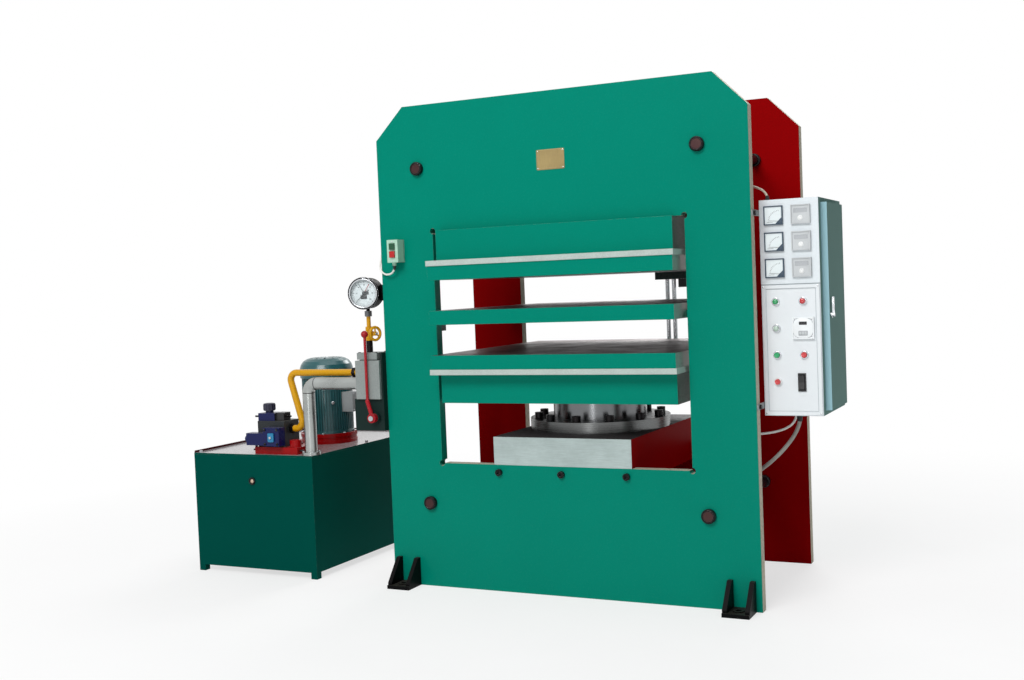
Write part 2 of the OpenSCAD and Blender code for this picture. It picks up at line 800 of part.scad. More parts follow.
// Valve column on the left edge of the front plate
module valve_block() {
  y1 = valve_y + valve_l;
  neck = 4;
  color([0.72, 0.74, 0.75]) difference() {
    box([valve_x0, valve_x1], [valve_y, y1], [valve_z, valve_top]);
    bar_x(return_pipe_d / 2 + 0.1, [valve_x0 - 1, valve_x0 + socket_depth], return_y, return_z);
    bar_x(pressure_pipe_d / 2 + 0.1, [valve_x0 - 1, valve_x0 + socket_depth], pressure_y, pressure_z);
  }
  color([0.72, 0.74, 0.75]) union() {
    box([valve_x0 + 14, valve_x1 - 22], [valve_y + 16, y1 - 14], [valve_top + seat, valve_top + neck + 1]);
    box([valve_x0 + 6, valve_x1 - 14], [valve_y + 8, y1 - 6], [valve_top + neck, cap_top]);
  }
}

module hand_valve() {
  y1 = valve_y + valve_l - 4;
  color([0.03, 0.2, 0.18]) difference() {
    union() {
      box([valve_x0 - 18, valve_x1], [valve_y + 14, y1], [hand_z, valve_z]);
      box([valve_x1, -half_w], [valve_y + 14, y1], [hand_z, cap_top]);
      bar_y(26, lever_x, [boss_y + 0.7, valve_y + 15], lever_z);
    }
    bar_y(feed_pipe_d / 2 + 0.1, feed_x, [y1 - socket_depth, y1 + 1], feed_z);
    bar_y(7 + shaft_fit, lever_x, [boss_y - 1, valve_y + 40], lever_z);
  }
  pin_head = lever_y - lever_hub_t / 2 - 7;
  color([0.8, 0.8, 0.78]) union() {
    bar_y(7, lever_x, [pin_head + 1, valve_y + 39], lever_z);
    bar_y(11, lever_x, [pin_head, pin_head + 6], lever_z);
  }
}

module hand_lever() {
  hub_y = [lever_y - lever_hub_t / 2, boss_y];
  arm_x = lever_x - lever_set;
  elbow_z = lever_z + lever_root_h;
  color([0.72, 0.05, 0.05]) difference() {
    union() {
      bar_y(20, lever_x, hub_y, lever_z);
      translate([lever_x, lever_y, lever_z]) rotate([0, -lever_lean, 0]) bar_z(9, 0, 0, [0, lever_root_l]);
      translate([arm_x, lever_y, elbow_z]) sphere(r = 9.5);
      bar_z(6, arm_x, lever_y, [elbow_z, lever_z + lever_l - 5]);
      translate([arm_x, lever_y, lever_z + lever_l]) sphere(d = lever_ball_d);
    }
    bar_y(7 + shaft_fit, lever_x, [hub_y[0] - 12, hub_y[1] + 12], lever_z);
  }
}

module gauge_cock() {
  color([0.1, 0.1, 0.1]) hex_z(27, stem_x, stem_y, [cap_top, cock_z - 30 - seat]);
  color([0.82, 0.62, 0.1]) translate([stem_x, stem_y, 0]) difference() {
    union() {
      bar_z(15, 0, 0, [cock_z - 30, cock_z + 30]);
      rotate([0, 0, wheel_turn]) bar_x(11, [0, 24], 0, cock_z);
      bar_z(9, 0, 0, [cock_z + 29, union_z]);
    }
    rotate([0, 0, wheel_turn]) bar_x(4 + shaft_fit, [8, 26], 0, cock_z);
  }
  color([0.12, 0.12, 0.12]) hex_z(30, stem_x, stem_y, [union_z + seat, union_z + 24]);
}

module cock_wheel() {
  rim_r = wheel_d / 2 - 6;
  color([0.85, 0.65, 0.1]) translate([stem_x, stem_y, cock_z]) rotate([0, 0, wheel_turn]) union() {
    bar_x(4, [8.5, 46], 0, 0);
    bar_x(9, [34, 48], 0, 0);
    for (a = [0, 120, 240]) rotate([a, 0, 0]) bar_z(3.5, 41, 0, [5, rim_r]);
    translate([41, 0, 0]) rotate([0, 90, 0]) rotate_extrude() translate([rim_r, 0]) circle(r = 6);
  }
}

// Pressure gauge, drawn about its own stem and then turned
module at_gauge() { translate([stem_x, stem_y, gauge_z]) rotate([0, 0, gauge_turn]) children(); }

module gauge_case() {
  r = gauge_d / 2;
  color([0.1, 0.1, 0.11]) at_gauge() difference() {
    union() {
      bar_y(r, 0, [dial_y - 10, case_back], 0);
      bar_y(r + 2.5, 0, [dial_y - 18, dial_y - 6], 0);
      box([r - 6, r + contact_box_reach], [-12, 26], [-34, 34]);
      bar_z(8, 0, 0, [union_z + 24 - gauge_z, 5 - r]);
    }
    bar_y(r - 4, 0, [dial_y - 15, dial_y + 1], 0);
    bar_y(r - 8, 0, [dial_y - 19, dial_y - 14], 0);
    bar_y(1.5 + shaft_fit, 0, [dial_y - 1, dial_y + 17], 0);
  }
  color([0.95, 0.95, 0.93]) at_gauge() difference() {
    bar_y(r - 4.5, 0, [dial_y, dial_y + 1 - seat], 0);
    bar_y(1.5 + shaft_fit, 0, [dial_y - 1, dial_y + 2], 0);
  }
}

module gauge_glass() {
  color([0.8, 0.9, 0.95, 0.4]) at_gauge() bar_y(gauge_d / 2 - 4.5, 0, [dial_y - 15, dial_y - 12], 0);
}

module gauge_pointer() {
  tip = gauge_d / 2 - 16;
  color([0.05, 0.05, 0.05]) at_gauge() union() {
    bar_y(1.5, 0, [dial_y - 6, dial_y + 16], 0);
    bar_y(4, 0, [dial_y - 7, dial_y - 4.5], 0);
    rotate([0, 225, 0]) translate([0, dial_y - 5, 0]) rotate([90, 0, 0]) linear_extrude(1.2)
      polygon([[-1.6, -14], [1.6, -14], [1.6, 0], [0.5, tip], [-0.5, tip], [-1.6, 0]]);
  }
}

// Pipes
module return_pipe() {
  r = return_pipe_d / 2;
  color([0.7, 0.7, 0.7]) translate([return_x, return_y, 0]) union() {
    bar_z(r, 0, 0, [tank_top - 160, return_z - return_bend]);
    translate([return_bend, 0, return_z - return_bend]) rotate([90, 0, 0]) rotate([0, 0, 90])
      quarter_bend(return_bend, r);
    bar_x(r, [return_bend, valve_x0 + socket_depth - return_x], 0, return_z);
    bar_z(r + 14, 0, 0, [tank_top, tank_top + 12]);
  }
}

module pressure_pipe() {
  r = pressure_pipe_d / 2;
  b = pressure_bend;
  lean = pressure_lean;
  color([0.84, 0.63, 0.08]) translate([pressure_x, pressure_y, 0]) union() {
    bar_x(r, [manifold_x1 - 14 - pressure_x, 0], 0, pressure_low_z);
    translate([0, 0, pressure_low_z + b]) rotate([90, 0, 0]) lean_bend(b, r, lean);
    translate([b * cos(lean), 0, pressure_low_z + b + b * sin(lean)]) rotate([0, -lean, 0])
      bar_z(r, 0, 0, [0, pressure_leg]);
    translate([pressure_shift, 0, pressure_z - b]) rotate([90, 0, 0]) rotate([0, 0, 180]) lean_bend(b, r, lean);
    bar_x(r, [pressure_shift, valve_x0 + socket_depth - pressure_x], 0, pressure_z);
    translate([manifold_x1 - pressure_x, 0, pressure_low_z]) rotate([0, 90, 0])
      cylinder(d = pressure_pipe_d * 1.5, h = 16, $fn = 6);
  }
}

module feed_pipe() {
  r = feed_pipe_d / 2;
  b = feed_bend;
  start_y = valve_y + valve_l - 4 - socket_depth;
  color([0.55, 0.56, 0.58]) translate([feed_x, 0, 0]) union() {
    bar_y(r, 0, [start_y, -b], feed_z);
    translate([0, -b, feed_z - b]) rotate([90, 0, 90]) quarter_bend(b, r);
    bar_z(r, 0, 0, [port_z + b, feed_z - b]);
    translate([b, 0, port_z + b]) rotate([90, 0, 0]) rotate([0, 0, 180]) quarter_bend(b, r);
    bar_x(r, [b, socket_depth - barrel_d / 2 - feed_x], 0, port_z);
  }
}

// Hydraulic unit
module oil_tank() {
  t = tank_wall;
  x1 = tank_right;
  rim_z = tank_top - cover_t;
  color([0, 0.42, 0.36]) difference() {
    union() {
      box([tank_x0, x1], [tank_front, tank_y1], [leg_h, rim_z]);
      for (x = [tank_x0, x1 - leg_w], y = [tank_front, tank_y1 - leg_w])
        box([x, x + leg_w], [y, y + leg_w], [0, leg_h + 1]);
    }
    box([tank_x0 + t, x1 - t], [tank_front + t, tank_y1 - t], [leg_h + t, rim_z + 1]);
  }
}

module tank_cover() {
  z = [tank_top - cover_t, tank_top];
  rim = 22;
  xs = [tank_x0 + rim, (tank_x0 + tank_right) / 2, tank_right - rim];
  color([0.7, 0.72, 0.72]) difference() {
    box([tank_x0, tank_right], [tank_front, tank_y1], z);
    bar_z(62, motor_x, motor_y, [z[0] - 1, z[1] + 1]);
    bar_z(return_pipe_d / 2 + 0.5, return_x, return_y, [z[0] - 1, z[1] + 1]);
    bar_z(12, motor_x, manifold_y0 + 60, [z[0] - 1, z[1] + 1]);
  }
  color([0.4, 0.4, 0.42]) for (x = [xs[0], xs[2]], y = [tank_front + rim, motor_y, tank_y1 - rim])
    if (x < return_x - 60 || y > return_y + 60) hex_z(14, x, y, [tank_top + seat, tank_top + 7]);
}

module motor_flange() {
  r = motor_flange_d / 2;
  color([0.5, 0.03, 0.03]) difference() {
    union() {
      bar_z(r, motor_x, motor_y, [tank_top, tank_top + 16]);
      bar_z(r - 3, motor_x, motor_y, [tank_top + 15, motor_z - 15]);
      bar_z(r, motor_x, motor_y, [motor_z - 16, motor_z]);
    }
    bar_z(72, motor_x, motor_y, [tank_top - 1, motor_z + 1]);
  }
}

module motor_frame() {
  core_r = motor_d / 2 - 8;
  bore = shaft_r + shaft_fit;
  color([0.16, 0.4, 0.42]) translate([motor_x, motor_y, 0]) difference() {
    union() {
      bar_z(core_r, 0, 0, [motor_z, motor_top]);
      bar_z(motor_d / 2, 0, 0, [motor_z, motor_z + 14]);
      bar_z(cowl_d / 2 - 3.2, 0, 0, [motor_top - 14, motor_top]);
      for (i = [0:fin_count - 1]) rotate([0, 0, i * 360 / fin_count])
        box([core_r - 2, motor_d / 2], [-fin_t / 2, fin_t / 2], [motor_z + 13, motor_top - 13]);
      box([core_r - 8, core_r + 56], [-terminal_box_w / 2, terminal_box_w / 2],
        [terminal_box_z, terminal_box_z + terminal_box_h]);
    }
    bar_z(62, 0, 0, [motor_z + 14, motor_top - 14]);
    bar_z(bore, 0, 0, [motor_z - 1, motor_top + 1]);
  }
}

module motor_cowl() {
  r = cowl_d / 2;
  color([0.16, 0.4, 0.42]) translate([motor_x, motor_y, cowl_z]) difference() {
    rotate_extrude() polygon([[0, cowl_h - 3], [r - 53, cowl_h - 3], [r - 37.5, cowl_h - 6.6], [r - 20, cowl_h - 16],
      [r - 8.8, cowl_h - 31], [r - 3, cowl_h - 49], [r - 3, 0], [r, 0], [r, cowl_h - 48], [r - 6, cowl_h - 30],
      [r - 18, cowl_h - 14], [r - 36, cowl_h - 4], [r - 52, cowl_h], [0, cowl_h]]);
    for (i = [0:11]) rotate([0, 0, i * 30]) box([34, r - 42], [-4, 4], [cowl_h - 9, cowl_h + 1]);
  }
}

module motor_rotor() {
  fan_z = motor_top + 20;
  color([0.5, 0.5, 0.52]) translate([motor_x, motor_y, 0]) union() {
    bar_z(shaft_r, 0, 0, [tank_top - 96, fan_z + 30]);
    bar_z(core_d / 2, 0, 0, [motor_z + core_inset, motor_top - core_inset]);
    bar_z(48, 0, 0, [tank_top + 4, motor_z - 6]);
    bar_z(34, 0, 0, [fan_z, fan_z + 26]);
    for (i = [0:6]) rotate([0, 0, i * 360 / 7]) box([30, cowl_d / 2 - 34], [-2, 2], [fan_z, fan_z + 26]);
  }
}

module oil_pump() {
  under = tank_top - cover_t;
  strainer_z = leg_h + tank_wall + strainer_rise;
  out_y = manifold_y0 + delivery_inset;
  out_z = under - 70;
  elbow = 20;
  color([0.35, 0.36, 0.38]) translate([motor_x, motor_y, 0]) difference() {
    union() {
      bar_z(74, 0, 0, [under - 14, under]);
      bar_z(56, 0, 0, [under - 140, under - 13]);
    }
    bar_z(shaft_r + shaft_fit, 0, 0, [tank_top - 97, under + 1]);
    bar_y(16 + seat, 0, [-60, -40], out_z);
  }
  color([0.6, 0.6, 0.6]) translate([motor_x, motor_y, 0]) union() {
    bar_z(16, 0, 0, [strainer_z + 99, under - 140 - seat]);
    bar_z(42, 0, 0, [strainer_z, strainer_z + 100]);
  }
  color([0.6, 0.6, 0.6]) union() {
    bar_y(16, motor_x, [out_y, motor_y - 41], out_z);
    bar_z(11.5, motor_x, out_y, [out_z, tank_top]);
    box([motor_x - elbow, motor_x + elbow], [out_y - elbow, out_y + elbow], [out_z - elbow, out_z + elbow]);
  }
}

// Valves on the tank
module manifold() {
  base_x = [manifold_x0 - 10, manifold_x1 + 77];
  base_y = [manifold_y0 - 15, manifold_y1 + 15];
  color([0.5, 0.03, 0.03]) union() {
    box(base_x, base_y, [tank_top, manifold_z]);
    bar_z(26, manifold_x1 + 46, manifold_y0 + 18, [manifold_z - 1, manifold_z + 31]);
  }
  color([0.28, 0.3, 0.32]) difference() {
    box([manifold_x0, manifold_x1], [manifold_y0, manifold_y1], [manifold_z + seat, manifold_top]);
    bar_x(pressure_pipe_d / 2 + 0.1, [manifold_x1 - 15, manifold_x1 + 1], pressure_y, pressure_low_z);
  }
}

module control_valves() {
  body_x = [manifold_x0 + 62, manifold_x1 + 2];
  coil_x = [manifold_x0 - 32, body_x[0] + 1];
  low = manifold_z + 8;
  mid_y = manifold_y0 - 25;
  pilot_x = [relief_x - 38, relief_x + 52];
  pilot_y = [relief_y - 35, relief_y + 35];
  plug_x = [pilot_x[1], pilot_x[1] + 44];
  color([0.1, 0.12, 0.43]) union() {
    box(body_x, [manifold_y0 - 46, manifold_y0], [low, low + 82]);
    box(coil_x, [mid_y - 21, mid_y + 24], [low + 3, low + 57]);
    bar_x(13, [coil_x[0] - 14, coil_x[0] + 1], mid_y, low + 30);
  }
  color([0.1, 0.12, 0.43]) union() {
    difference() {
      union() {
        box(pilot_x, pilot_y, [manifold_top, relief_z - 9]);
        bar_z(18, relief_x, relief_y, [relief_z - 10, relief_z]);
        bar_x(4, [pilot_x[0] - 42, pilot_x[0] + 1], relief_y, manifold_top + 16);
      }
      bar_z(7 + shaft_fit, relief_x, relief_y, [relief_z - 24, relief_z + 1]);
    }
    box([plug_x[0] - 1, plug_x[1]], [pilot_y[0] + 10, pilot_y[1] - 10], [manifold_top, manifold_top + 36]);
    bar_x(4, [plug_x[1] - 1, plug_x[1] + 22], relief_y, manifold_top + 18);
  }
}

module relief_knob() {
  color([0.06, 0.07, 0.2]) translate([relief_x, relief_y, 0]) union() {
    bar_z(7, 0, 0, [relief_z - 22, relief_z + 2]);
    bar_z(relief_knob_d / 2, 0, 0, [relief_z + 0.5, relief_z + 32]);
    for (i = [0:11]) rotate([0, 0, i * 30]) bar_z(3, relief_knob_d / 2 - 1, 0, [relief_z + 4, relief_z + 28]);
  }
}

// Control cabinet
module meter_holes(x, w) {
  for (z = meter_z) box([x - w / 2, x + w / 2], [cab_front - 1, cab_front + cab_wall + 1], [z - w / 2, z + w / 2]);
}

module hinge_half(z, pin) {
  difference() {
    union() {
      bar_z(hinge_r, hinge_x, hinge_y, [z, z + hinge_l]);
      if (pin) box([cab_x1 - 1, hinge_x], [hinge_y - 4, hinge_y + 6], [z, z + hinge_l]);
      if (pin) bar_z(hinge_pin_r, hinge_x, hinge_y, [z, z + 2 * hinge_l]);
      if (!pin) box([hinge_x - 4, hinge_x + 4], [door_y1 - 2, hinge_y], [z, z + hinge_l]);
    }
    if (!pin) bar_z(hinge_pin_r + shaft_fit, hinge_x, hinge_y, [z - 1, z + hinge_l + 1]);
  }
}

module cabinet_shell() {
  t = cab_wall;
  color([0.9, 0.92, 0.94]) difference() {
    union() {
      box([cab_x0, cab_x1], [cab_front, cab_y1], [cab_z, cab_top]);
      for (z = hinge_zs) hinge_half(z, true);
    }
    box([cab_x0 + t, cab_x1 - t], [cab_front + t, cab_y1 - t], [cab_z + t, cab_top - t]);
    box([cab_x0 + 16, cab_x1 - 16], [cab_front - 1, cab_front + t + 1], [cab_z + 16, field_z - 16]);
    box([cab_x1 - t - 1, cab_x1 + 1], [door_y0 + 14, door_y1 - 14], [door_z + 14, door_z + door_h - 14]);
    meter_holes(left_col, meter_w - 5);
    meter_holes(right_col, meter_w - 5);
  }
}

module switch_panel() {
  x = [cab_x0 + 3, cab_x1 - 3];
  z = [cab_z + 3, field_z - 3];
  rim = 12;
  hole_y = [rim_face - 1, cab_front + 1];
  lamp_r = panel_button_d / 2 + 3;
  color([0.92, 0.94, 0.95]) difference() {
    box(x, [rim_face, cab_front], z);
    box([x[0] + rim, x[1] - rim], [rim_face - 1, panel_face], [z[0] + rim, z[1] - rim]);
    for (i = [0:3]) bar_y(lamp_r, left_col, hole_y, button_z[i]);
    for (i = [0, 2]) bar_y(lamp_r, right_col, hole_y, button_z[i]);
    box([right_col - 35, right_col + 35], hole_y, [button_z[1] - 35, button_z[1] + 35]);
    box([rocker_x - 13, rocker_x + 13], hole_y, [rocker_z - 32, rocker_z + 32]);
  }
}

// A square instrument: bezel in front of the panel, recess for its dial, body behind
module square_meter(x, z, face, w, bezel, recess, body) {
  difference() {
    union() {
      box([x - w / 2, x + w / 2], [face - bezel, face], [z - w / 2, z + w / 2]);
      box([x - w / 2 + 4, x + w / 2 - 4], [face - 1, face + body], [z - w / 2 + 4, z + w / 2 - 4]);
    }
    box([x - w / 2 + 4, x + w / 2 - 4], [face - bezel - 1, face - bezel + recess], [z - w / 2 + 4, z + w / 2 - 4]);
  }
}

module pilot_lamp(x, z) {
  r = panel_button_d / 2;
  union() {
    bar_y(r + 5, x, [panel_face - 5, panel_face], z);
    bar_y(r, x, [panel_face - 12, panel_face], z);
    bar_y(r + 2.6, x, [panel_face - 1, panel_face + 45], z);
  }
}

module push_housing(x, z) {
  r = panel_button_d / 2;
  difference() {
    union() {
      bar_y(r + 5, x, [panel_face - 5, panel_face], z);
      bar_y(r + 2.6, x, [panel_face - 1, panel_face + 45], z);
    }
    bar_y(r + button_fit, x, [panel_face - 6, panel_face + 24], z);
  }
}

module rocker_frame() {
  y = [panel_face - 4, panel_face];
  difference() {
    union() {
      box([rocker_x - 15, rocker_x + 15], y, [rocker_z - 34, rocker_z + 34]);
      box([rocker_x - 12.6, rocker_x + 12.6], [panel_face - 1, panel_face + 34], [rocker_z - 31.6, rocker_z + 31.6]);
    }
    box([rocker_x - 10.6, rocker_x + 10.6], [y[0] - 1, panel_face + 24], [rocker_z - 29, rocker_z + 29]);
  }
  bar_x(pin_r, [rocker_x - 11, rocker_x + 11], panel_face + 4, rocker_z);
}

module panel_instruments() {
  color([0.12, 0.14, 0.25]) for (z = meter_z) square_meter(left_col, z, cab_front, meter_w, 9, 3, ammeter_l);
  color([0.8, 0.82, 0.82]) for (z = meter_z) square_meter(right_col, z, cab_front, meter_w, 11, 3, controller_l);
  color([0.95, 0.95, 0.95]) square_meter(right_col, button_z[1], panel_face, timer_w, 12, 2, 0);
  color([0.9, 0.9, 0.9]) box([right_col - 34, right_col + 34], [panel_face, panel_face + 60],
    [button_z[1] - 34, button_z[1] + 34]);
  color([0.1, 0.55, 0.25]) pilot_lamp(left_col, button_z[0]);
  color([0.8, 0.1, 0.1]) pilot_lamp(right_col, button_z[0]);
  color([0.8, 0.9, 0.82]) pilot_lamp(left_col, button_z[1]);
  color([0.15, 0.15, 0.15]) {
    push_housing(left_col, button_z[2]);
    push_housing(right_col, button_z[2]);
    push_housing(left_col, button_z[3]);
    union() rocker_frame();
  }
}

module push_cap(x, z) { bar_y(panel_button_d / 2, x, [panel_face - 12, panel_face + 18], z); }

module start_push() { color([0.1, 0.55, 0.25]) push_cap(left_col, button_z[2]); }

module stop_push() { color([0.8, 0.1, 0.1]) push_cap(right_col, button_z[2]); }

module cycle_push() { color([0.8, 0.1, 0.1]) push_cap(left_col, button_z[3]); }

module rocker_switch() {
  y = panel_face + 4;
  color([0.05, 0.05, 0.05]) difference() {
    translate([rocker_x - 10, y, rocker_z]) rotate([90, 0, 90]) linear_extrude(20)
      polygon([[-13, 0], [-15, 26], [-4, 26.5], [9, 5], [9, -5], [-4, -26.5], [-15, -26]]);
    bar_x(pin_r + shaft_fit, [rocker_x - 12, rocker_x + 12], y, rocker_z);
  }
}

module cabinet_door() {
  skin = 3;
  z1 = door_z + door_h;
  color([0.4, 0.47, 0.47]) difference() {
    union() {
      difference() {
        box([cab_x1, door_x1], [door_y0, door_y1], [door_z, z1]);
        box([cab_x1 - 1, door_x1 - skin], [door_y0 + skin, door_y1 - skin], [door_z + skin, z1 - skin]);
      }
      for (z = hinge_zs) hinge_half(z + hinge_l + 0.5, false);
    }
    bar_x(handle_shaft_r + shaft_fit, [door_x1 - skin - 1, door_x1 + 1], handle_y, handle_z);
  }
}

module door_handle() {
  color([0.1, 0.1, 0.1]) union() {
    bar_x(handle_shaft_r, [door_x1 - 18, door_x1 + 12], handle_y, handle_z);
    bar_x(12, [door_x1 + 0.5, door_x1 + 6], handle_y, handle_z);
    bar_x(9, [door_x1 + 5, door_x1 + 14], handle_y, handle_z);
    box([door_x1 + 6, door_x1 + 13], [handle_y - 5, handle_y + 5], [handle_z - 5, handle_z + handle_l]);
    box([door_x1 - 18, door_x1 - 13], [handle_y - 7, handle_y + 7], [handle_z - 10, handle_z + 14]);
  }
}

module cabinet_straps() {
  color([0.7, 0.72, 0.74]) for (z = strap_z) difference() {
    box([half_w, cab_x0], [-face_y + 4, face_y - 4], [z - strap_h / 2, z + strap_h / 2]);
    for (y = [-plate_mid_y, plate_mid_y]) bar_x(strap_screw_d / 2 + 0.3, [half_w - 1, cab_x0 + 1], y, z);
  }
  color([0.3, 0.3, 0.32]) for (z = strap_z, y = [-plate_mid_y, plate_mid_y]) union() {
    bar_x(strap_screw_d / 2, [half_w - 24, cab_x0 + 1], y, z);
    translate([cab_x0 + seat, y, z]) rotate([0, 90, 0]) cylinder(d = strap_screw_d * 1.8, h = 8, $fn = 6);
  }
}

module contactor_tray() {
  back = cab_y1 - cab_wall;
  x = [cab_x0 + 18, cab_x1 - 18];
  plate_y = back - 15;
  z = [cab_z + tray_rise, cab_top - tray_drop];
  color([0.75, 0.72, 0.5]) union() {
    box(x, [plate_y, plate_y + 3], z);
    for (px = [x[0] + tray_post_inset, x[1] - tray_post_inset], pz = [z[0] + 20, z[1] - 20])
      bar_y(6, px, [plate_y + 2, back], pz);
  }
  color([0.9, 0.88, 0.8]) for (i = [0:1], k = [0:1])
    box([x[0] + 12 + i * 86, x[0] + 86 + i * 86], [plate_y - 84, plate_y - seat], [cab_z + 170 + k * 110, cab_z + 256 + k * 110]);
  color([0.2, 0.2, 0.2]) for (i = [0:5])
    box([x[0] + 8 + i * 28, x[0] + 30 + i * 28], [plate_y - 60, plate_y - seat], [cab_z + 70, cab_z + 140]);
}

// A cable gland along Z; side is the way it faces
module gland_z(x, y, z, side, d, h = gland_l) {
  rotate_it = side > 0 ? 0 : 180;
  translate([x, y, z]) rotate([rotate_it, 0, 0]) difference() {
    union() {
      cylinder(d = d * 2, h = 5, $fn = 6);
      translate([0, 0, 4]) cylinder(d = d * 1.7, h = h - 4);
    }
    translate([0, 0, 5]) cylinder(d = d + 1, h = 20);
  }
}

module gland_x(x, y, z, d) { translate([x, y, z]) rotate([0, 90, 0]) gland_z(0, 0, 0, 1, d); }

// A junction box behind the front plate
module junction_box(x, z, h, depth) { box(x, [-half_gap, depth - half_gap], [z, z + h]); }

module terminal_boxes() {
  color([0.55, 0.57, 0.58]) {
    junction_box(button_box_x, button_box_z, button_box_h, button_box_l);
    junction_box(upper_box_x, upper_box_z, upper_box_h, upper_box_l);
    junction_box(heater_box_x, heater_box_z, heater_box_h, heater_box_l);
  }
  color([0.12, 0.12, 0.12]) {
    gland_x(upper_box_x[1] + seat, upper_exit[1], upper_exit[2], heater_lead_d);
    gland_x(heater_box_x[1] + seat, heater_exit[1], heater_exit[2], heater_lead_d);
    gland_x(heater_box_x[1] + seat, supply_exit[1], supply_exit[2], supply_lead_d);
    mirror([1, 0, 0]) gland_x(-button_box_x[0] + seat, button_entry[1], button_entry[2], button_lead_d);
    gland_z(upper_entry[0], upper_entry[1], cab_top, 1, heater_lead_d, low_gland_l);
    gland_z(heater_entry[0], heater_entry[1], cab_z, -1, heater_lead_d);
    gland_z(supply_entry[0], supply_entry[1], cab_z, -1, supply_lead_d);
  }
}

// Push-button station on the front plate
module button_station() {
  x = [-station_x - station_w / 2, -station_x + station_w / 2];
  color([0.75, 0.86, 0.8]) difference() {
    union() {
      box(x, [station_y, -face_y], [station_z, station_z + station_h]);
      bar_z(9, button_route[0][0], button_route[0][1], [station_z - 12, station_z + 1]);
    }
    for (z = key_z) box([-station_x - key_w / 2 - button_fit, -station_x + key_w / 2 + button_fit],
      [station_y - 1, station_y + key_depth + button_travel + 1],
      [z - key_h / 2 - button_fit, z + key_h / 2 + button_fit]);
    bar_z(button_lead_d / 2 + 0.5, button_route[0][0], button_route[0][1], [station_z - 13, station_z - 6]);
  }
}

module station_key(z) {
  box([-station_x - key_w / 2, -station_x + key_w / 2], [station_y - 8, station_y + key_depth],
    [z - key_h / 2, z + key_h / 2]);
}

module raise_button() { color([0.03, 0.3, 0.16]) station_key(key_z[0]); }

module lower_button() { color([0.7, 0.06, 0.05]) station_key(key_z[1]); }

// Leads
module button_lead() { color([0.9, 0.89, 0.84]) lead(button_route, button_lead_d); }

module upper_lead() { color([0.85, 0.82, 0.7]) lead(upper_route, heater_lead_d); }

module heater_lead() { color([0.93, 0.93, 0.92]) lead(heater_route, heater_lead_d); }

module supply_lead() { color([0.5, 0.51, 0.52]) lead(supply_route, supply_lead_d); }

front_plate();
rear_plate();
tie_rods();
frame_fasteners();
foot_brackets();
upper_bed();
upper_board();
upper_platen();
middle_platen();
lower_platen();
lower_board();
ram_table();
ram();
cylinder_body();
ram_packing();
gland_ring();
gland_bolts();
platen_stops();
rod_bracket();
trip_rod();
valve_block();
hand_valve();
hand_lever();
gauge_cock();
cock_wheel();
gauge_case();
gauge_pointer();
gauge_glass();
return_pipe();
pressure_pipe();
feed_pipe();
oil_tank();
tank_cover();
motor_flange();
motor_frame();
motor_cowl();
motor_rotor();
oil_pump();
manifold();
control_valves();
relief_knob();
cabinet_shell();
switch_panel();
panel_instruments();
start_push();
stop_push();
cycle_push();
rocker_switch();
cabinet_door();
door_handle();
cabinet_straps();
contactor_tray();
terminal_boxes();
button_station();
raise_button();
lower_button();
button_lead();
upper_lead();
heater_lead();
supply_lead();
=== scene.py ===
"""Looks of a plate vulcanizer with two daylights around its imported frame. Places are in millimetres."""
import math

import bmesh
import bpy
from mathutils import Matrix, Vector


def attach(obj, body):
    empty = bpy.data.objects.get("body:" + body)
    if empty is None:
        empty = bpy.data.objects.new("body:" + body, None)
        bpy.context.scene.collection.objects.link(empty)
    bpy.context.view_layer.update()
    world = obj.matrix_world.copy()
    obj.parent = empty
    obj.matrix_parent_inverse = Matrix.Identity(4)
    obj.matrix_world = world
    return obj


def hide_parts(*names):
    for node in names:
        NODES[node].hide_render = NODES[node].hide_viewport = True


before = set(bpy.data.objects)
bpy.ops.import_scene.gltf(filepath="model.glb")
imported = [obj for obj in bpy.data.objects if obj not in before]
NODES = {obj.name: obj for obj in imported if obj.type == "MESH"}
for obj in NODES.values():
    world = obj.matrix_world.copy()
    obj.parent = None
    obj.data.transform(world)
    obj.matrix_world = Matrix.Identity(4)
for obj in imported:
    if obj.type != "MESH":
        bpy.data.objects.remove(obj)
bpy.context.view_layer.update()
SCENE = bpy.context.scene
MM = 0.001
FRAME_BODY = "press_frame"


def put_in_scene(name, data):
    made = bpy.data.objects.new(name, data)
    SCENE.collection.objects.link(made)
    return made


# Camera at the photograph's viewing angle
CAMERA_AT = (1.9792, -4.8779, 1.2578)
CAMERA_YAW = 0.4555
CAMERA_PITCH = -0.0448
CAMERA_ROLL = -0.0398
FOCAL_PIXELS = 1222.54
IMAGE_WIDTH = 1024
SENSOR_WIDTH = 36


def make_camera():
    data = bpy.data.cameras.new("camera")
    data.sensor_width = SENSOR_WIDTH
    data.lens = FOCAL_PIXELS / IMAGE_WIDTH * SENSOR_WIDTH
    camera = put_in_scene("camera", data)
    flat = math.cos(CAMERA_PITCH)
    ahead = Vector((-math.sin(CAMERA_YAW) * flat, math.cos(CAMERA_YAW) * flat, math.sin(CAMERA_PITCH)))
    level = Vector((math.cos(CAMERA_YAW), math.sin(CAMERA_YAW), 0))
    upright = level.cross(ahead)
    right = level * math.cos(CAMERA_ROLL) + upright * math.sin(CAMERA_ROLL)
    up = upright * math.cos(CAMERA_ROLL) - level * math.sin(CAMERA_ROLL)
    turn = Matrix((right, up, -ahead)).transposed().to_4x4()
    camera.matrix_world = Matrix.Translation(CAMERA_AT) @ turn
    SCENE.camera = camera


make_camera()

# Leads: the same bends as the solids that they stand for
LEAD_STEPS = 28
LEAD_ROUNDNESS = 5


def bend(p, q, r, s, steps):
    points = []
    for i in range(steps + 1):
        t = i / steps
        u = 1 - t
        points.append(p * u ** 3 + q * (3 * u * u * t) + r * (3 * u * t * t) + s * t ** 3)
    return points


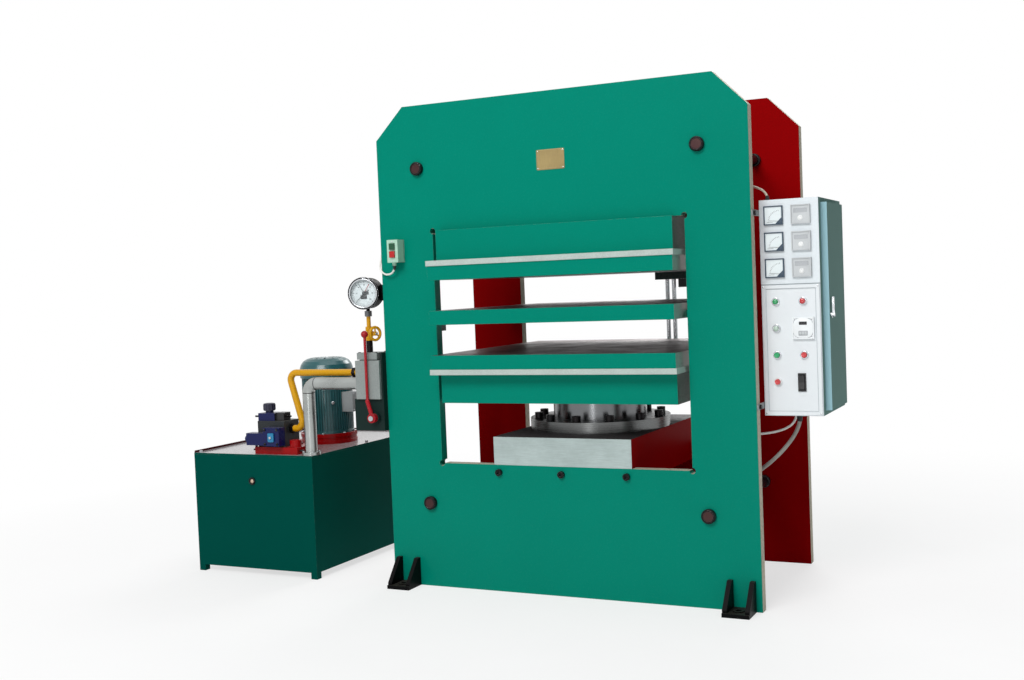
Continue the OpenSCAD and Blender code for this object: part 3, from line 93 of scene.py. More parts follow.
def lead(node, start, bends, end, diameter):
    points = [Vector(start)]
    steps = LEAD_STEPS // len(bends)
    for corners in bends:
        run = bend(*[Vector(c) for c in corners], steps)
        points += run if len(points) == 1 else run[1:]
    points.append(Vector(end))
    points = [p * MM for p in points]
    curve = bpy.data.curves.new(node + "_cable", "CURVE")
    curve.dimensions = "3D"
    curve.bevel_depth = 1
    curve.bevel_resolution = LEAD_ROUNDNESS
    curve.use_fill_caps = True
    line = curve.splines.new("POLY")
    line.points.add(len(points) - 1)
    for knot, p in zip(line.points, points):
        knot.co = (*p, 1)
        knot.radius = diameter * MM / 2
    line.use_smooth = True
    cable = put_in_scene(node + "_cable", curve)
    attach(cable, FRAME_BODY)
    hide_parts(node)
    return cable


BUTTON_CABLE = lead(
    "button_lead", (-720, -462, 1364),
    [[(-720, -462, 1357), (-720, -462, 1307), (-810, -451, 1313.6), (-810, -430, 1370)],
     [(-810, -430, 1370), (-810, -409, 1426.4), (-818, -370, 1496), (-758, -370, 1496)]],
    (-748, -370, 1496), 8)
UPPER_CABLE = lead(
    "upper_lead", (630, -320, 1610),
    [[(640, -320, 1610), (702, -320, 1610), (826, -289, 1603), (826, -289, 1546)]],
    (826, -289, 1543), 9)
HEATER_CABLE = lead(
    "heater_lead", (647, -320, 653),
    [[(657, -320, 653), (733, -320, 653), (859, -62, 614), (859, -62, 706)]],
    (859, -62, 721), 9)
SUPPLY_CABLE = lead(
    "supply_lead", (647, -320, 466),
    [[(657, -320, 466), (745, -320, 466), (895, -160, 609), (895, -160, 700)]],
    (895, -160, 721), 15)


# Shader building
def tint(red, green, blue):
    out = []
    for part in (red, green, blue):
        level = part / 255
        out.append(level / 12.92 if level <= 0.04045 else ((level + 0.055) / 1.055) ** 2.4)
    return (*out, 1)


def shade(tree, kind, links=None, **settings):
    """Adds a shader node with its settings. Each input is linked to a socket or set to a value."""
    made = tree.nodes.new("ShaderNode" + kind)
    for key, value in settings.items():
        setattr(made, key, value)
    for socket, source in (links or {}).items():
        if isinstance(source, bpy.types.NodeSocket):
            tree.links.new(source, made.inputs[socket])
        else:
            made.inputs[socket].default_value = source
    return made


def here(tree):
    return shade(tree, "TexCoord").outputs["Object"]


def noise(tree, place, scale, detail=3, roughness=0.55):
    return shade(tree, "TexNoise", {"Vector": place, "Scale": scale, "Detail": detail,
                                    "Roughness": roughness}).outputs[0]


def spread(tree, value, low, high, out_low, out_high):
    return shade(tree, "MapRange", {0: value, 1: low, 2: high, 3: out_low, 4: out_high}).outputs[0]


def maths(tree, operation, a, b):
    return shade(tree, "Math", {0: a, 1: b}, operation=operation).outputs[0]


def plus(tree, a, b):
    return maths(tree, "ADD", a, b)


def times(tree, a, b):
    return maths(tree, "MULTIPLY", a, b)


def vectors(tree, operation, a, b=(0, 0, 0)):
    return shade(tree, "VectorMath", {0: a, 1: b}, operation=operation).outputs


def lifted(tree, colour, value):
    return shade(tree, "HueSaturation", {"Value": value, "Color": colour}).outputs[0]


def blend_colours(tree, factor, a, b):
    return shade(tree, "Mix", {0: factor, 6: a, 7: b}, data_type="RGBA").outputs[2]


def link_all(tree, inputs, sources):
    for socket, source in sources.items():
        tree.links.new(source, inputs[socket])


WHITE = (1, 1, 1, 1)
PAINT_SHINE = 0.25
DUST_TINT = tint(150, 145, 134)
# A light grey for rubbed metal edges that also serves as a painted edge highlight.
RUBBED_AND_PAINTED_HIGHLIGHT_TINT = tint(205, 205, 205)
SURFACE_OUTPUTS = [("Color", "Color"), ("Roughness", "Float"), ("Height", "Float"), ("Normal", "Vector")]


def floats(**defaults):
    return [(label, "Float", value) for label, value in defaults.items()]


def colours(*labels):
    return [(label, "Color", WHITE) for label in labels]


def new_group(name, inputs, outputs):
    tree = bpy.data.node_groups.new(name, "ShaderNodeTree")
    for label, kind, value in inputs:
        socket = tree.interface.new_socket(label, in_out="INPUT", socket_type="NodeSocket" + kind)
        socket.default_value = value
    for label, kind in outputs:
        tree.interface.new_socket(label, in_out="OUTPUT", socket_type="NodeSocket" + kind)
    return tree, tree.nodes.new("NodeGroupInput").outputs, tree.nodes.new("NodeGroupOutput").inputs


def make_edge_group():
    """How near a sharp edge a point is, broken up, and the normal of a slightly rounded edge."""
    tree, given, out = new_group("edge_wear", floats(Width=0.002, Grain=60.0),
                                 [("Mask", "Float"), ("Normal", "Vector")])
    eased = shade(tree, "Bevel", {"Radius": given["Width"]}, samples=4).outputs[0]
    plain = shade(tree, "NewGeometry").outputs["Normal"]
    same = vectors(tree, "DOT_PRODUCT", eased, plain)["Value"]
    edge = spread(tree, same, 0.995, 0.88, 0, 1)
    broken = spread(tree, noise(tree, here(tree), given["Grain"], 4), 0.42, 0.62, 0, 1)
    link_all(tree, out, {"Mask": times(tree, edge, broken), "Normal": eased})
    return tree


def make_dust_group():
    """Dust that settles on faces that look up."""
    tree, given, out = new_group("settled_dust", floats(Amount=0.3), [("Mask", "Float")])
    plain = shade(tree, "NewGeometry").outputs["Normal"]
    height = shade(tree, "SeparateXYZ", {0: plain}).outputs["Z"]
    lying = spread(tree, height, 0.6, 0.98, 0, 1)
    patch = spread(tree, noise(tree, here(tree), 7, 5, 0.6), 0.35, 0.7, 0.35, 1)
    link_all(tree, out, {"Mask": times(tree, times(tree, lying, patch), given["Amount"])})
    return tree


def make_paint_group(edge_tree, dust_tree):
    """A sprayed coat with cloudy tone, orange peel, worn edges and dust."""
    inputs = colours("Paint", "Wear")
    inputs += floats(Edge=0.002, Worn=0.5, Dust=0.2, Cloud=0.06, Low=0.25, High=0.4)
    tree, given, out = new_group("sprayed_coat", inputs, SURFACE_OUTPUTS)
    place = here(tree)
    edges = shade(tree, "Group", {"Width": given["Edge"], "Grain": 55}, node_tree=edge_tree).outputs
    dust = shade(tree, "Group", {"Amount": given["Dust"]}, node_tree=dust_tree).outputs["Mask"]
    broad = maths(tree, "SUBTRACT", noise(tree, place, 2.3, 4), 0.5)
    fine = maths(tree, "SUBTRACT", noise(tree, place, 48, 4), 0.5)
    speck = noise(tree, place, 160, 2)
    tone = plus(tree, times(tree, broad, 2.0), fine)
    coat = lifted(tree, given["Paint"], plus(tree, times(tree, tone, given["Cloud"]), 1.0))
    worn = times(tree, edges["Mask"], given["Worn"])
    coat = blend_colours(tree, worn, coat, given["Wear"])
    coat = blend_colours(tree, dust, coat, DUST_TINT)
    gloss = spread(tree, speck, 0.3, 0.7, given["Low"], given["High"])
    gloss = plus(tree, gloss, times(tree, dust, 0.35))
    gloss = plus(tree, gloss, times(tree, worn, 0.2))
    peel = plus(tree, noise(tree, place, 330, 2), times(tree, fine, 0.8))
    height = maths(tree, "SUBTRACT", peel, times(tree, worn, 0.5))
    link_all(tree, out, {"Color": coat, "Roughness": gloss, "Height": height, "Normal": edges["Normal"]})
    return tree


def make_metal_group(edge_tree):
    """Tool marks, stains, and edges lightened both as rubbing and as a painted highlight, on bare metal.
    Place carries the marks' stretch and direction.
    """
    inputs = [("Place", "Vector", (0, 0, 0)), *colours("Metal", "Stain")]
    inputs += floats(Stained=0.3, Edge=0.001, Low=0.2, High=0.4)
    tree, given, out = new_group("tool_marks", inputs, SURFACE_OUTPUTS)
    edges = shade(tree, "Group", {"Width": given["Edge"], "Grain": 90}, node_tree=edge_tree).outputs
    marks = noise(tree, given["Place"], 1.0, 4, 0.6)
    patch = spread(tree, noise(tree, here(tree), 6, 6, 0.62), 0.42, 0.68, 0, 1)
    dirty = times(tree, patch, given["Stained"])
    bare = lifted(tree, given["Metal"], spread(tree, marks, 0.3, 0.7, 0.86, 1.1))
    bare = blend_colours(tree, dirty, bare, given["Stain"])
    # Sharp edges turn lighter: part rubbed metal, part painted highlight.
    bare = blend_colours(tree, times(tree, edges["Mask"], 0.35), bare, RUBBED_AND_PAINTED_HIGHLIGHT_TINT)
    gloss = spread(tree, marks, 0.3, 0.7, given["Low"], given["High"])
    gloss = plus(tree, gloss, times(tree, dirty, 0.3))
    link_all(tree, out, {"Color": bare, "Roughness": gloss, "Height": marks, "Normal": edges["Normal"]})
    return tree


def make_grit_group(edge_tree):
    """A gritty body such as fibre board, sand casting or moulded plastic."""
    inputs = colours("Body", "Fleck")
    inputs += floats(Flecked=0.4, Scale=300.0, Edge=0.001, Low=0.6, High=0.85)
    tree, given, out = new_group("gritty_body", inputs, SURFACE_OUTPUTS)
    place = here(tree)
    edges = shade(tree, "Group", {"Width": given["Edge"]}, node_tree=edge_tree).outputs
    grit = noise(tree, place, given["Scale"], 5, 0.65)
    cloud = noise(tree, place, 11, 4)
    fleck = times(tree, spread(tree, grit, 0.46, 0.66, 0, 1), given["Flecked"])
    body = lifted(tree, given["Body"], spread(tree, cloud, 0.3, 0.7, 0.92, 1.06))
    body = blend_colours(tree, fleck, body, given["Fleck"])
    body = blend_colours(tree, times(tree, edges["Mask"], 0.3), body, given["Fleck"])
    gloss = spread(tree, grit, 0.3, 0.7, given["Low"], given["High"])
    link_all(tree, out, {"Color": body, "Roughness": gloss, "Height": grit, "Normal": edges["Normal"]})
    return tree


EDGE = make_edge_group()
DUST = make_dust_group()
PAINT = make_paint_group(EDGE, DUST)
METAL = make_metal_group(EDGE)
GRIT = make_grit_group(EDGE)
PEEL_DEPTH = 0.0005
MARK_DEPTH = 0.0003
GRIT_DEPTH = 0.0004
PLASTIC_GRAIN = 520


def new_material(name, shader):
    """A material whose shader has its plain values, with its node tree and that shader."""
    material = bpy.data.materials.new(name)
    material.use_nodes = True
    surface = material.node_tree.nodes["Principled BSDF"]
    for socket, value in shader.items():
        surface.inputs[socket].default_value = value
    return material, material.node_tree, surface


def finish_from(name, group, values, relief, depth, shader):
    """A material whose colour, gloss and relief come from one of the groups."""
    material, tree, surface = new_material(name, shader)
    inputs = {socket: value(tree) if callable(value) else value for socket, value in values.items()}
    source = shade(tree, "Group", inputs, node_tree=group).outputs
    bump = shade(tree, "Bump", {"Height": source["Height"], "Normal": source["Normal"],
                                "Strength": relief, "Distance": depth})
    link_all(tree, surface.inputs, {"Base Color": source["Color"], "Roughness": source["Roughness"],
                                    "Normal": bump.outputs[0]})
    return material


def paint(name, colour, wear=(176, 172, 160), edge=0.0015, worn=0.5, dust=0.2, cloud=0.06,
          gloss=(0.24, 0.36), peel=0.12, shine=PAINT_SHINE):
    values = {"Paint": tint(*colour), "Wear": tint(*wear), "Edge": edge, "Worn": worn, "Dust": dust,
              "Cloud": cloud, "Low": gloss[0], "High": gloss[1]}
    return finish_from(name, PAINT, values, peel, PEEL_DEPTH, {"Specular IOR Level": shine})


def stretched(x, y, z):
    """Object coordinates stretched to draw tool marks along one way."""
    return lambda tree: vectors(tree, "MULTIPLY", here(tree), (x, y, z))[0]


def ringed(rings):
    """Coordinates that draw turning marks around the upright axis."""
    def place(tree):
        point = here(tree)
        flat = vectors(tree, "MULTIPLY", point, (1, 1, 0))[0]
        radius = vectors(tree, "LENGTH", flat)["Value"]
        height = shade(tree, "SeparateXYZ", {0: point}).outputs["Z"]
        return shade(tree, "CombineXYZ", {"X": times(tree, radius, rings),
                                          "Z": times(tree, height, rings)}).outputs[0]
    return place


def metal(name, colour, place, gloss, stain=(74, 58, 44), stained=0.25, edge=0.001, relief=0.12,
          metallic=1.0):
    values = {"Place": place, "Metal": tint(*colour), "Stain": tint(*stain), "Stained": stained,
              "Edge": edge, "Low": gloss[0], "High": gloss[1]}
    return finish_from(name, METAL, values, relief, MARK_DEPTH, {"Metallic": metallic})


def gritty(name, colour, fleck, flecked, scale, gloss, relief, edge=0.001, **shader):
    values = {"Body": tint(*colour), "Fleck": tint(*fleck), "Flecked": flecked, "Scale": scale,
              "Edge": edge, "Low": gloss[0], "High": gloss[1]}
    return finish_from(name, GRIT, values, relief, GRIT_DEPTH, shader)


def plastic(name, colour, fleck, gloss, relief, flecked=0.2):
    return gritty(name, colour, fleck, flecked, PLASTIC_GRAIN, gloss, relief)


GREEN = paint("green_enamel", (0, 126, 106), edge=0.002, worn=0.3, dust=0.08, gloss=(0.2, 0.3), shine=0.05)
TANK_GREEN = paint("tank_enamel", (0, 72, 63), worn=0.2, dust=0.06, gloss=(0.3, 0.42), shine=0.01)
DARK_GREEN = paint("bracket_green", (6, 50, 44), worn=0.35)
RED = paint("inner_red", (148, 3, 6), wear=(140, 50, 44), edge=0.002, worn=0.3, dust=0.05, cloud=0.08,
            gloss=(0.4, 0.54), shine=0.01)
SIGNAL_RED = paint("lever_enamel", (156, 16, 28), wear=(120, 110, 105), edge=0.0008, worn=0.3,
                   gloss=(0.14, 0.24))
BASE_RED = paint("base_red", (148, 6, 9), wear=(120, 80, 72), worn=0.3, cloud=0.1, dust=0.04,
                 gloss=(0.2, 0.3), shine=0.15)
LIP_RED = paint("lip_red", (62, 6, 10), wear=(96, 60, 56), edge=0.001, worn=0.3, shine=0.1)
BLACK = paint("black_enamel", (8, 8, 9), wear=(70, 68, 64), edge=0.001, worn=0.35, dust=0.1,
              gloss=(0.3, 0.46), shine=0.06)
GAUGE_BLACK = paint("gauge_enamel", (8, 8, 9), wear=(70, 68, 66), edge=0.0008, worn=0.25,
                    gloss=(0.4, 0.55), shine=0.04)
COVER_SILVER = paint("cover_silver", (148, 144, 146), wear=(130, 128, 128), cloud=0.12,
                     gloss=(0.07, 0.2), dust=0.05, shine=0.5)
YELLOW = paint("yellow_enamel", (206, 150, 14), wear=(140, 120, 84), edge=0.0008, worn=0.3,
               gloss=(0.2, 0.32))
MOTOR_TEAL = paint("motor_enamel", (34, 86, 90), wear=(130, 146, 146), edge=0.0008, worn=0.4, cloud=0.1,
                   dust=0.06, gloss=(0.16, 0.26), shine=0.45)
NAVY = paint("valve_enamel", (10, 20, 74), wear=(60, 64, 110), edge=0.001, worn=0.35, gloss=(0.18, 0.3))
MANIFOLD_IRON = paint("manifold_black", (38, 42, 45), wear=(92, 94, 96), edge=0.001, worn=0.4,
                      gloss=(0.3, 0.45))
CABINET = paint("cabinet_enamel", (222, 229, 233), wear=(160, 164, 166), edge=0.0012, worn=0.25, dust=0.1,
                cloud=0.025, gloss=(0.22, 0.34), peel=0.2)
# Painted shade: the door and the cabinet's right side get a darker copy of the cabinet's own paint, standing
# for the shade on the side that the front light misses.
SIDE_PAINTED_SHADE = paint("side_painted_shade", (116, 148, 142), wear=(100, 114, 114), edge=0.0012, worn=0.3, dust=0.08,
             cloud=0.05, gloss=(0.5, 0.62), peel=0.2, shine=0.006)
# Painted light: the door's front edge gets a lighter copy of the door's shaded paint, for the front light
# falling on that edge.
DOOR_EDGE_PAINTED_LIGHT = paint("door_edge_painted_light", (146, 186, 196), wear=(104, 118, 118), edge=0.0012, worn=0.3,
                  cloud=0.04, gloss=(0.4, 0.5), peel=0.2)
PANEL = paint("panel_enamel", (226, 231, 234), wear=(150, 158, 162), edge=0.0006, cloud=0.025,
              gloss=(0.26, 0.38))
TRAY = paint("tray_zinc", (196, 188, 132), cloud=0.12)
JUNCTION = paint("junction_grey", (138, 143, 144))

PLATEN_FACE = metal("platen_face", (102, 93, 93), stretched(30, 240, 30), (0.3, 0.5), stain=(50, 36, 30),
                    stained=0.5, edge=0.0012)
PLATEN_SIDE = metal("platen_side", (186, 190, 186), stretched(20, 30, 420), (0.3, 0.5),
                    stain=(120, 112, 100), metallic=0.5)
BED_SIDE = metal("bed_side", (62, 94, 84), stretched(20, 30, 360), (0.34, 0.52), stain=(48, 66, 60),
                 stained=0.45, metallic=0.3)
BLOCK_FACE = metal("block_face", (172, 186, 184), stretched(24, 24, 330), (0.42, 0.6),
                   stain=(124, 136, 134), stained=0.35, metallic=0.2, relief=0.3)
# Painted shade: near-black on the cylinder block's top stands for the shade under the gland ring; the ram
# table's top and bottom faces get it too.
BLOCK_TOP_PAINTED_SHADE = metal("block_top", (40, 36, 38), stretched(200, 30, 30), (0.5, 0.68), stain=(26, 22, 22),
                  stained=0.5, metallic=0.2)
RAM_STEEL = metal("ram_steel", (118, 120, 122), ringed(420), (0.16, 0.28), stained=0.08)
GLAND_STEEL = metal("gland_steel", (112, 114, 114), ringed(300), (0.2, 0.34), stained=0.15)
DARK_STEEL = metal("dark_steel", (58, 58, 62), stretched(90, 90, 90), (0.3, 0.5))
BRIGHT_STEEL = metal("bright_steel", (190, 193, 196), stretched(160, 160, 40), (0.16, 0.32), stained=0.1)
FEED_STEEL = metal("feed_pipe_steel", (112, 114, 118), stretched(60, 60, 60), (0.32, 0.5), stained=0.3)
PLATED = metal("plated_trim", (206, 209, 213), stretched(50, 50, 50), (0.08, 0.16), stained=0.04,
               relief=0.03)
BRASS = metal("brass_plate", (154, 134, 86), stretched(320, 30, 30), (0.4, 0.56), stain=(110, 92, 54),
              stained=0.35, relief=0.1, metallic=0.3)
BLACK_OXIDE = metal("black_oxide", (24, 23, 25), stretched(140, 140, 140), (0.24, 0.4),
                    stain=(46, 26, 24), stained=0.2, metallic=0.8)
ROD_END = metal("rod_end", (62, 34, 36), ringed(200), (0.26, 0.4), stained=0.3, metallic=0.6)
SILVER = metal("silver_pipe", (164, 168, 166), stretched(14, 14, 14), (0.24, 0.32), stain=(120, 121, 119),
               stained=0.06, edge=0.0004, relief=0.01, metallic=0.9)

EDGE_FILLER = gritty("edge_filler", (190, 184, 164), (146, 136, 116), 0.45, 90, (0.6, 0.85), 0.35, edge=0.002)
BOARD = gritty("fibre_board", (168, 181, 175), (212, 220, 215), 0.5, 420, (0.75, 0.95), 0.5, edge=0.0015)
CAST_GREY = gritty("cast_grey", (140, 147, 145), (104, 110, 108), 0.5, 260, (0.42, 0.62), 0.5, Metallic=0.3)
CAST_DARK = gritty("cast_dark", (10, 32, 29), (26, 44, 40), 0.4, 260, (0.45, 0.65), 0.5,
                   **{"Specular IOR Level": 0.15})
PUMP_IRON = gritty("pump_iron", (84, 86, 90), (56, 58, 60), 0.5, 240, (0.45, 0.65), 0.5, Metallic=0.5)
NAVY_DARK = gritty("knob_navy", (12, 14, 40), (34, 36, 70), 0.25, 420, (0.35, 0.5), 0.15)
COIL_BLUE = gritty("coil_blue", (24, 116, 158), (56, 146, 188), 0.2, 420, (0.3, 0.45), 0.1)
MINT = gritty("mint_plastic", (166, 204, 182), (190, 220, 204), 0.2, 500, (0.34, 0.46), 0.08)
DIAL_WHITE = gritty("dial_white", (226, 236, 238), (240, 246, 246), 0.3, 300, (0.5, 0.6), 0.03)
CONTROLLER_FACE = gritty("controller_face", (192, 196, 198), (208, 212, 214), 0.25, 300, (0.4, 0.5), 0.03)
WINDOW_GREY = gritty("window_grey", (170, 174, 178), (182, 186, 190), 0.25, 300, (0.2, 0.3), 0.03)
PANEL_LINE = gritty("panel_line", (176, 184, 188), (190, 196, 200), 0.3, 400, (0.4, 0.55), 0.05)
LINE_GREY = gritty("line_grey", (126, 136, 140), (146, 154, 158), 0.3, 400, (0.4, 0.55), 0.05)
PRINT_BLACK = gritty("print_black", (18, 20, 24), (36, 38, 42), 0.2, 600, (0.45, 0.6), 0.02)
PRINT_RED = gritty("print_red", (176, 24, 24), (200, 60, 50), 0.2, 600, (0.4, 0.55), 0.02)
CERAMIC = gritty("terminal_ceramic", (206, 198, 178), (176, 166, 146), 0.3, 400, (0.5, 0.65), 0.2)
LEAD_CREAM = gritty("cream_sheath", (214, 206, 186), (230, 224, 208), 0.25, 300, (0.4, 0.55), 0.1)
LEAD_WHITE = gritty("white_sheath", (224, 222, 216), (238, 236, 232), 0.25, 300, (0.4, 0.55), 0.1)
LEAD_GREY = gritty("grey_sheath", (150, 147, 140), (172, 168, 162), 0.3, 300, (0.45, 0.6), 0.15)
RUBBER = gritty("black_rubber", (20, 20, 20), (38, 38, 38), 0.3, 400, (0.6, 0.75), 0.15)

BLACK_PLASTIC = plastic("black_plastic", (14, 14, 16), (40, 40, 44), (0.3, 0.46), 0.12, 0.25)
INSTRUMENT_BLUE = plastic("meter_frame", (34, 58, 78), (56, 80, 98), (0.28, 0.4), 0.08)
INSTRUMENT_GREY = plastic("controller_frame", (188, 192, 194), (204, 208, 210), (0.34, 0.46), 0.08, 0.25)
KNOB_WHITE = plastic("knob_white", (232, 234, 234), (246, 246, 246), (0.3, 0.4), 0.05)
TIMER_WHITE = plastic("timer_white", (236, 240, 242), (244, 246, 247), (0.32, 0.44), 0.06)
KEY_GREEN = plastic("key_green", (10, 70, 42), (30, 98, 66), (0.25, 0.36), 0.06)
KEY_RED = plastic("key_red", (176, 16, 20), (206, 56, 50), (0.22, 0.34), 0.06)
PUSH_GREEN = plastic("push_green", (34, 160, 98), (70, 188, 132), (0.2, 0.3), 0.04)
PUSH_RED = plastic("push_red", (204, 58, 62), (224, 100, 98), (0.2, 0.3), 0.04)


def lamp_lens(name, colour):
    lit = tuple(min(255, c + 40) for c in colour)
    return gritty(name, colour, lit, 0.3, 260, (0.08, 0.16), 0.1,
                  **{"Coat Weight": 0.6, "Transmission Weight": 0.15})


LENS_GREEN = lamp_lens("lens_green", (22, 160, 90))
LENS_RED = lamp_lens("lens_red", (206, 26, 34))
LENS_PALE = lamp_lens("lens_pale", (180, 204, 188))
LENS_OIL = lamp_lens("lens_oil", (206, 176, 150))


def clear_pane(name, alpha):
    """A thin clear front whose smears change its gloss."""
    shader = {"Base Color": tint(214, 226, 230), "Specular IOR Level": 0.8}
    material, tree, surface = new_material(name, shader)
    smear = noise(tree, here(tree), 70, 4)
    link_all(tree, surface.inputs, {"Roughness": spread(tree, smear, 0.3, 0.7, 0.04, 0.14),
                                    "Alpha": spread(tree, smear, 0.3, 0.7, alpha * 0.8, alpha * 1.2)})
    return material


PANE = clear_pane("clear_pane", 0.06)

for cable, sheath in ((BUTTON_CABLE, LEAD_WHITE), (UPPER_CABLE, LEAD_CREAM), (HEATER_CABLE, LEAD_WHITE),
                      (SUPPLY_CABLE, LEAD_GREY)):
    cable.data.materials.append(sheath)

# Main places of the solids
TOUCH = 0.05
PLATE_FACE_Y = -435
HALF_PLATE = 800
CHEEK_X = 700
SILL_Z = 525
BLOCK_FACE_Y = 430
RAM_R = 200
BORE_WALL = 40
HALF_PLATEN_W = 525
TERMINAL_Y = 340
ROD_X, ROD_Y, ROD_R, ROD_NUT_R = 132, 560, 10.1, 17
BRACKET_FOOT, BRACKET_TOP, BRACKET_FACE_Y = 1256, 1276, 545.5
SWITCH_X = 185
SPINDLE_Y = -499
COCK_FOOT, COCK_TOP = 1044, 1148
PIPE_NUT_X, PIPE_NUT_Z = -1318.5, 680
TANK_LEFT, TANK_RIGHT = -1820, -1165
TANK_FRONT, TANK_REAR = -495, 405
TANK_TOP = 546
MOTOR_X, MOTOR_Y = -1396, -20
MOTOR_FOOT = 592
BOX_X, BOX_FOOT, BOX_TOP = MOTOR_X + 119.5, 691, 788
BASE_TOP, BASE_TONGUE_X = 577, -1334
TOP_VALVE_Z = 691.9
TOP_VALVE_LEFT, TOP_VALVE_COIL, TOP_VALVE_RIGHT = -1483.5, -1393.5, -1349
CAB_LEFT, CAB_RIGHT = 806, 1026
CAB_FRONT = -340
CAB_FOOT = 729
DEVICE_Y, FUSE_FOOT = 26, CAB_FOOT + 160
LOW_GLAND_X, HIGH_GLAND_X, HIGH_GLAND_Z, LEFT_GLAND_X = 639, 622, 1500, -740
FIELD_Z = 1221
PANEL_Y = -343
RIM_Y = -346
METER_DIAL_Y = -346
CONTROLLER_FACE_Y = -348
TIMER_FACE_Y = -353
LENS_FOOT_Y, LENS_Y = -347, -355
LENS_R, COLLAR_R = 10.2, 16
LEFT_COLUMN, RIGHT_COLUMN = 860, 961
METERS_RIGHT, TIMER_LEFT, TIMER_HALF = 900, 915, 42
METER_ROWS = (1478, 1380, 1282)
BUTTON_ROWS = (1157, 1057, 957, 857)
LAMPS = ((LEFT_COLUMN, 0, LENS_GREEN), (RIGHT_COLUMN, 0, LENS_RED), (LEFT_COLUMN, 1, LENS_PALE))
COLLARED_KEYS = [(LEFT_COLUMN, 2), (RIGHT_COLUMN, 2)]
GAUGE_AT = Vector((-888, -420, 1248))
GAUGE_TURN = math.radians(13)
GAUGE_R = 66
GAUGE_DIAL_Y = -38


# Finishes of the solids
def dress(node, finish, *rules):
    """Gives a node its finish. Each rule is a test on a face's centre and normal, and its finish."""
    mesh = NODES[node].data
    mesh.materials.clear()
    mesh.materials.append(finish)
    for _, other in rules:
        mesh.materials.append(other)
    for face in mesh.polygons:
        centre = face.center / MM
        face.material_index = 0
        for index, (test, _) in enumerate(rules, 1):
            if test(centre, face.normal):
                face.material_index = index
                break


def dress_plain(**finishes):
    for node, finish in finishes.items():
        dress(node, finish)


def flat_to(axis, sign):
    return lambda c, n: n[axis] * sign > 0.9


def across(axis):
    return lambda c, n: abs(n[axis]) > 0.9


def past(axis, limit, sign=1):
    """A test for faces that lie past a limit along an axis, or before it with a sign of -1."""
    return lambda c, n: (c[axis] - limit) * sign > TOUCH


def near_axis(x, y, radius):
    return lambda c, n: math.hypot(c.x - x, c.y - y) < radius


def near_front(x, row, radius):
    return lambda c, n: math.hypot(c.x - x, c.z - BUTTON_ROWS[row]) < radius


UNTURN_GAUGE = Matrix.Rotation(-GAUGE_TURN, 3, "Z")


def gauge_rim(c, n):
    place = UNTURN_GAUGE @ (c - GAUGE_AT)
    return place.y < GAUGE_DIAL_Y - 5.5 and (UNTURN_GAUGE @ n).y < -0.9 and place.xz.length > GAUGE_R - 9


def gauge_dial(c, n):
    place = UNTURN_GAUGE @ (c - GAUGE_AT)
    return abs(place.y - GAUGE_DIAL_Y) < 1.05 and place.xz.length < GAUGE_R - 4.4


def dress_frame():
    thickness = (lambda c, n: abs(n.y) < 0.9, EDGE_FILLER)
    cheek = (lambda c, n: abs(n.x) > 0.5 and abs(c.x) < CHEEK_X, GREEN)
    dress("front_plate", GREEN, cheek, thickness, (flat_to(1, 1), RED))
    dress("rear_plate", RED, thickness, (flat_to(1, 1), GREEN))
    dress("tie_rods", DARK_STEEL, (across(1), ROD_END))
    dress_plain(frame_fasteners=BLACK_OXIDE, foot_brackets=BLACK)


def rod_nut(c, n):
    return c.z > BRACKET_TOP + TOUCH and c.y > BRACKET_FACE_Y and near_axis(ROD_X, ROD_Y, ROD_NUT_R)(c, n)


def dress_stack():
    dress("upper_bed", GREEN, (across(0), BED_SIDE), (flat_to(2, -1), PLATEN_FACE))
    # The ram table's top and bottom faces get the block top's painted shade.
    dress("ram_table", GREEN, (across(0), BED_SIDE), (across(2), BLOCK_TOP_PAINTED_SHADE))
    terminal = (lambda c, n: abs(c.x) > HALF_PLATEN_W + 1 and abs(c.y) < TERMINAL_Y, CERAMIC)
    for node in ("upper_platen", "lower_platen", "middle_platen"):
        dress(node, PLATEN_FACE, terminal, (across(1), GREEN), (across(0), PLATEN_SIDE))
    # The block's top faces get the painted shade.
    dress("cylinder_body", RED,
          (lambda c, n: c.z > SILL_Z and abs(n.y) > 0.9 and abs(c.y) > BLOCK_FACE_Y, BLOCK_FACE),
          (near_axis(0, 0, RAM_R + BORE_WALL), PUMP_IRON),
          (lambda c, n: c.z > SILL_Z and n.z > 0.9, BLOCK_TOP_PAINTED_SHADE))
    dress("rod_bracket", DARK_GREEN, (near_axis(ROD_X, ROD_Y, ROD_R), BRIGHT_STEEL), (rod_nut, BRIGHT_STEEL),
          (lambda c, n: c.z < BRACKET_FOOT - TOUCH and c.x > SWITCH_X, BLACK_PLASTIC))
    dress_plain(upper_board=BOARD, lower_board=BOARD, platen_stops=DARK_GREEN, ram=RAM_STEEL,
                ram_packing=RUBBER, gland_ring=GLAND_STEEL, gland_bolts=BLACK_OXIDE, trip_rod=BRIGHT_STEEL)


def dress_valve_column():
    dress("hand_valve", CAST_DARK, (past(1, SPINDLE_Y, -1), BRIGHT_STEEL))
    dress("gauge_cock", YELLOW, (past(2, COCK_FOOT, -1), BLACK_OXIDE), (past(2, COCK_TOP), FEED_STEEL))
    dress("gauge_case", GAUGE_BLACK, (gauge_rim, PLATED), (gauge_dial, DIAL_WHITE))
    dress("pressure_pipe", YELLOW, (lambda c, n: c.x < PIPE_NUT_X and c.z < PIPE_NUT_Z, BLACK_OXIDE))
    dress_plain(valve_block=CAST_GREY, hand_lever=SIGNAL_RED, cock_wheel=YELLOW, gauge_pointer=PRINT_BLACK,
                gauge_glass=PANE, return_pipe=SILVER, feed_pipe=FEED_STEEL)


def valve_end(c, n):
    return c.z > TOP_VALVE_Z and not TOP_VALVE_LEFT <= c.x <= TOP_VALVE_RIGHT


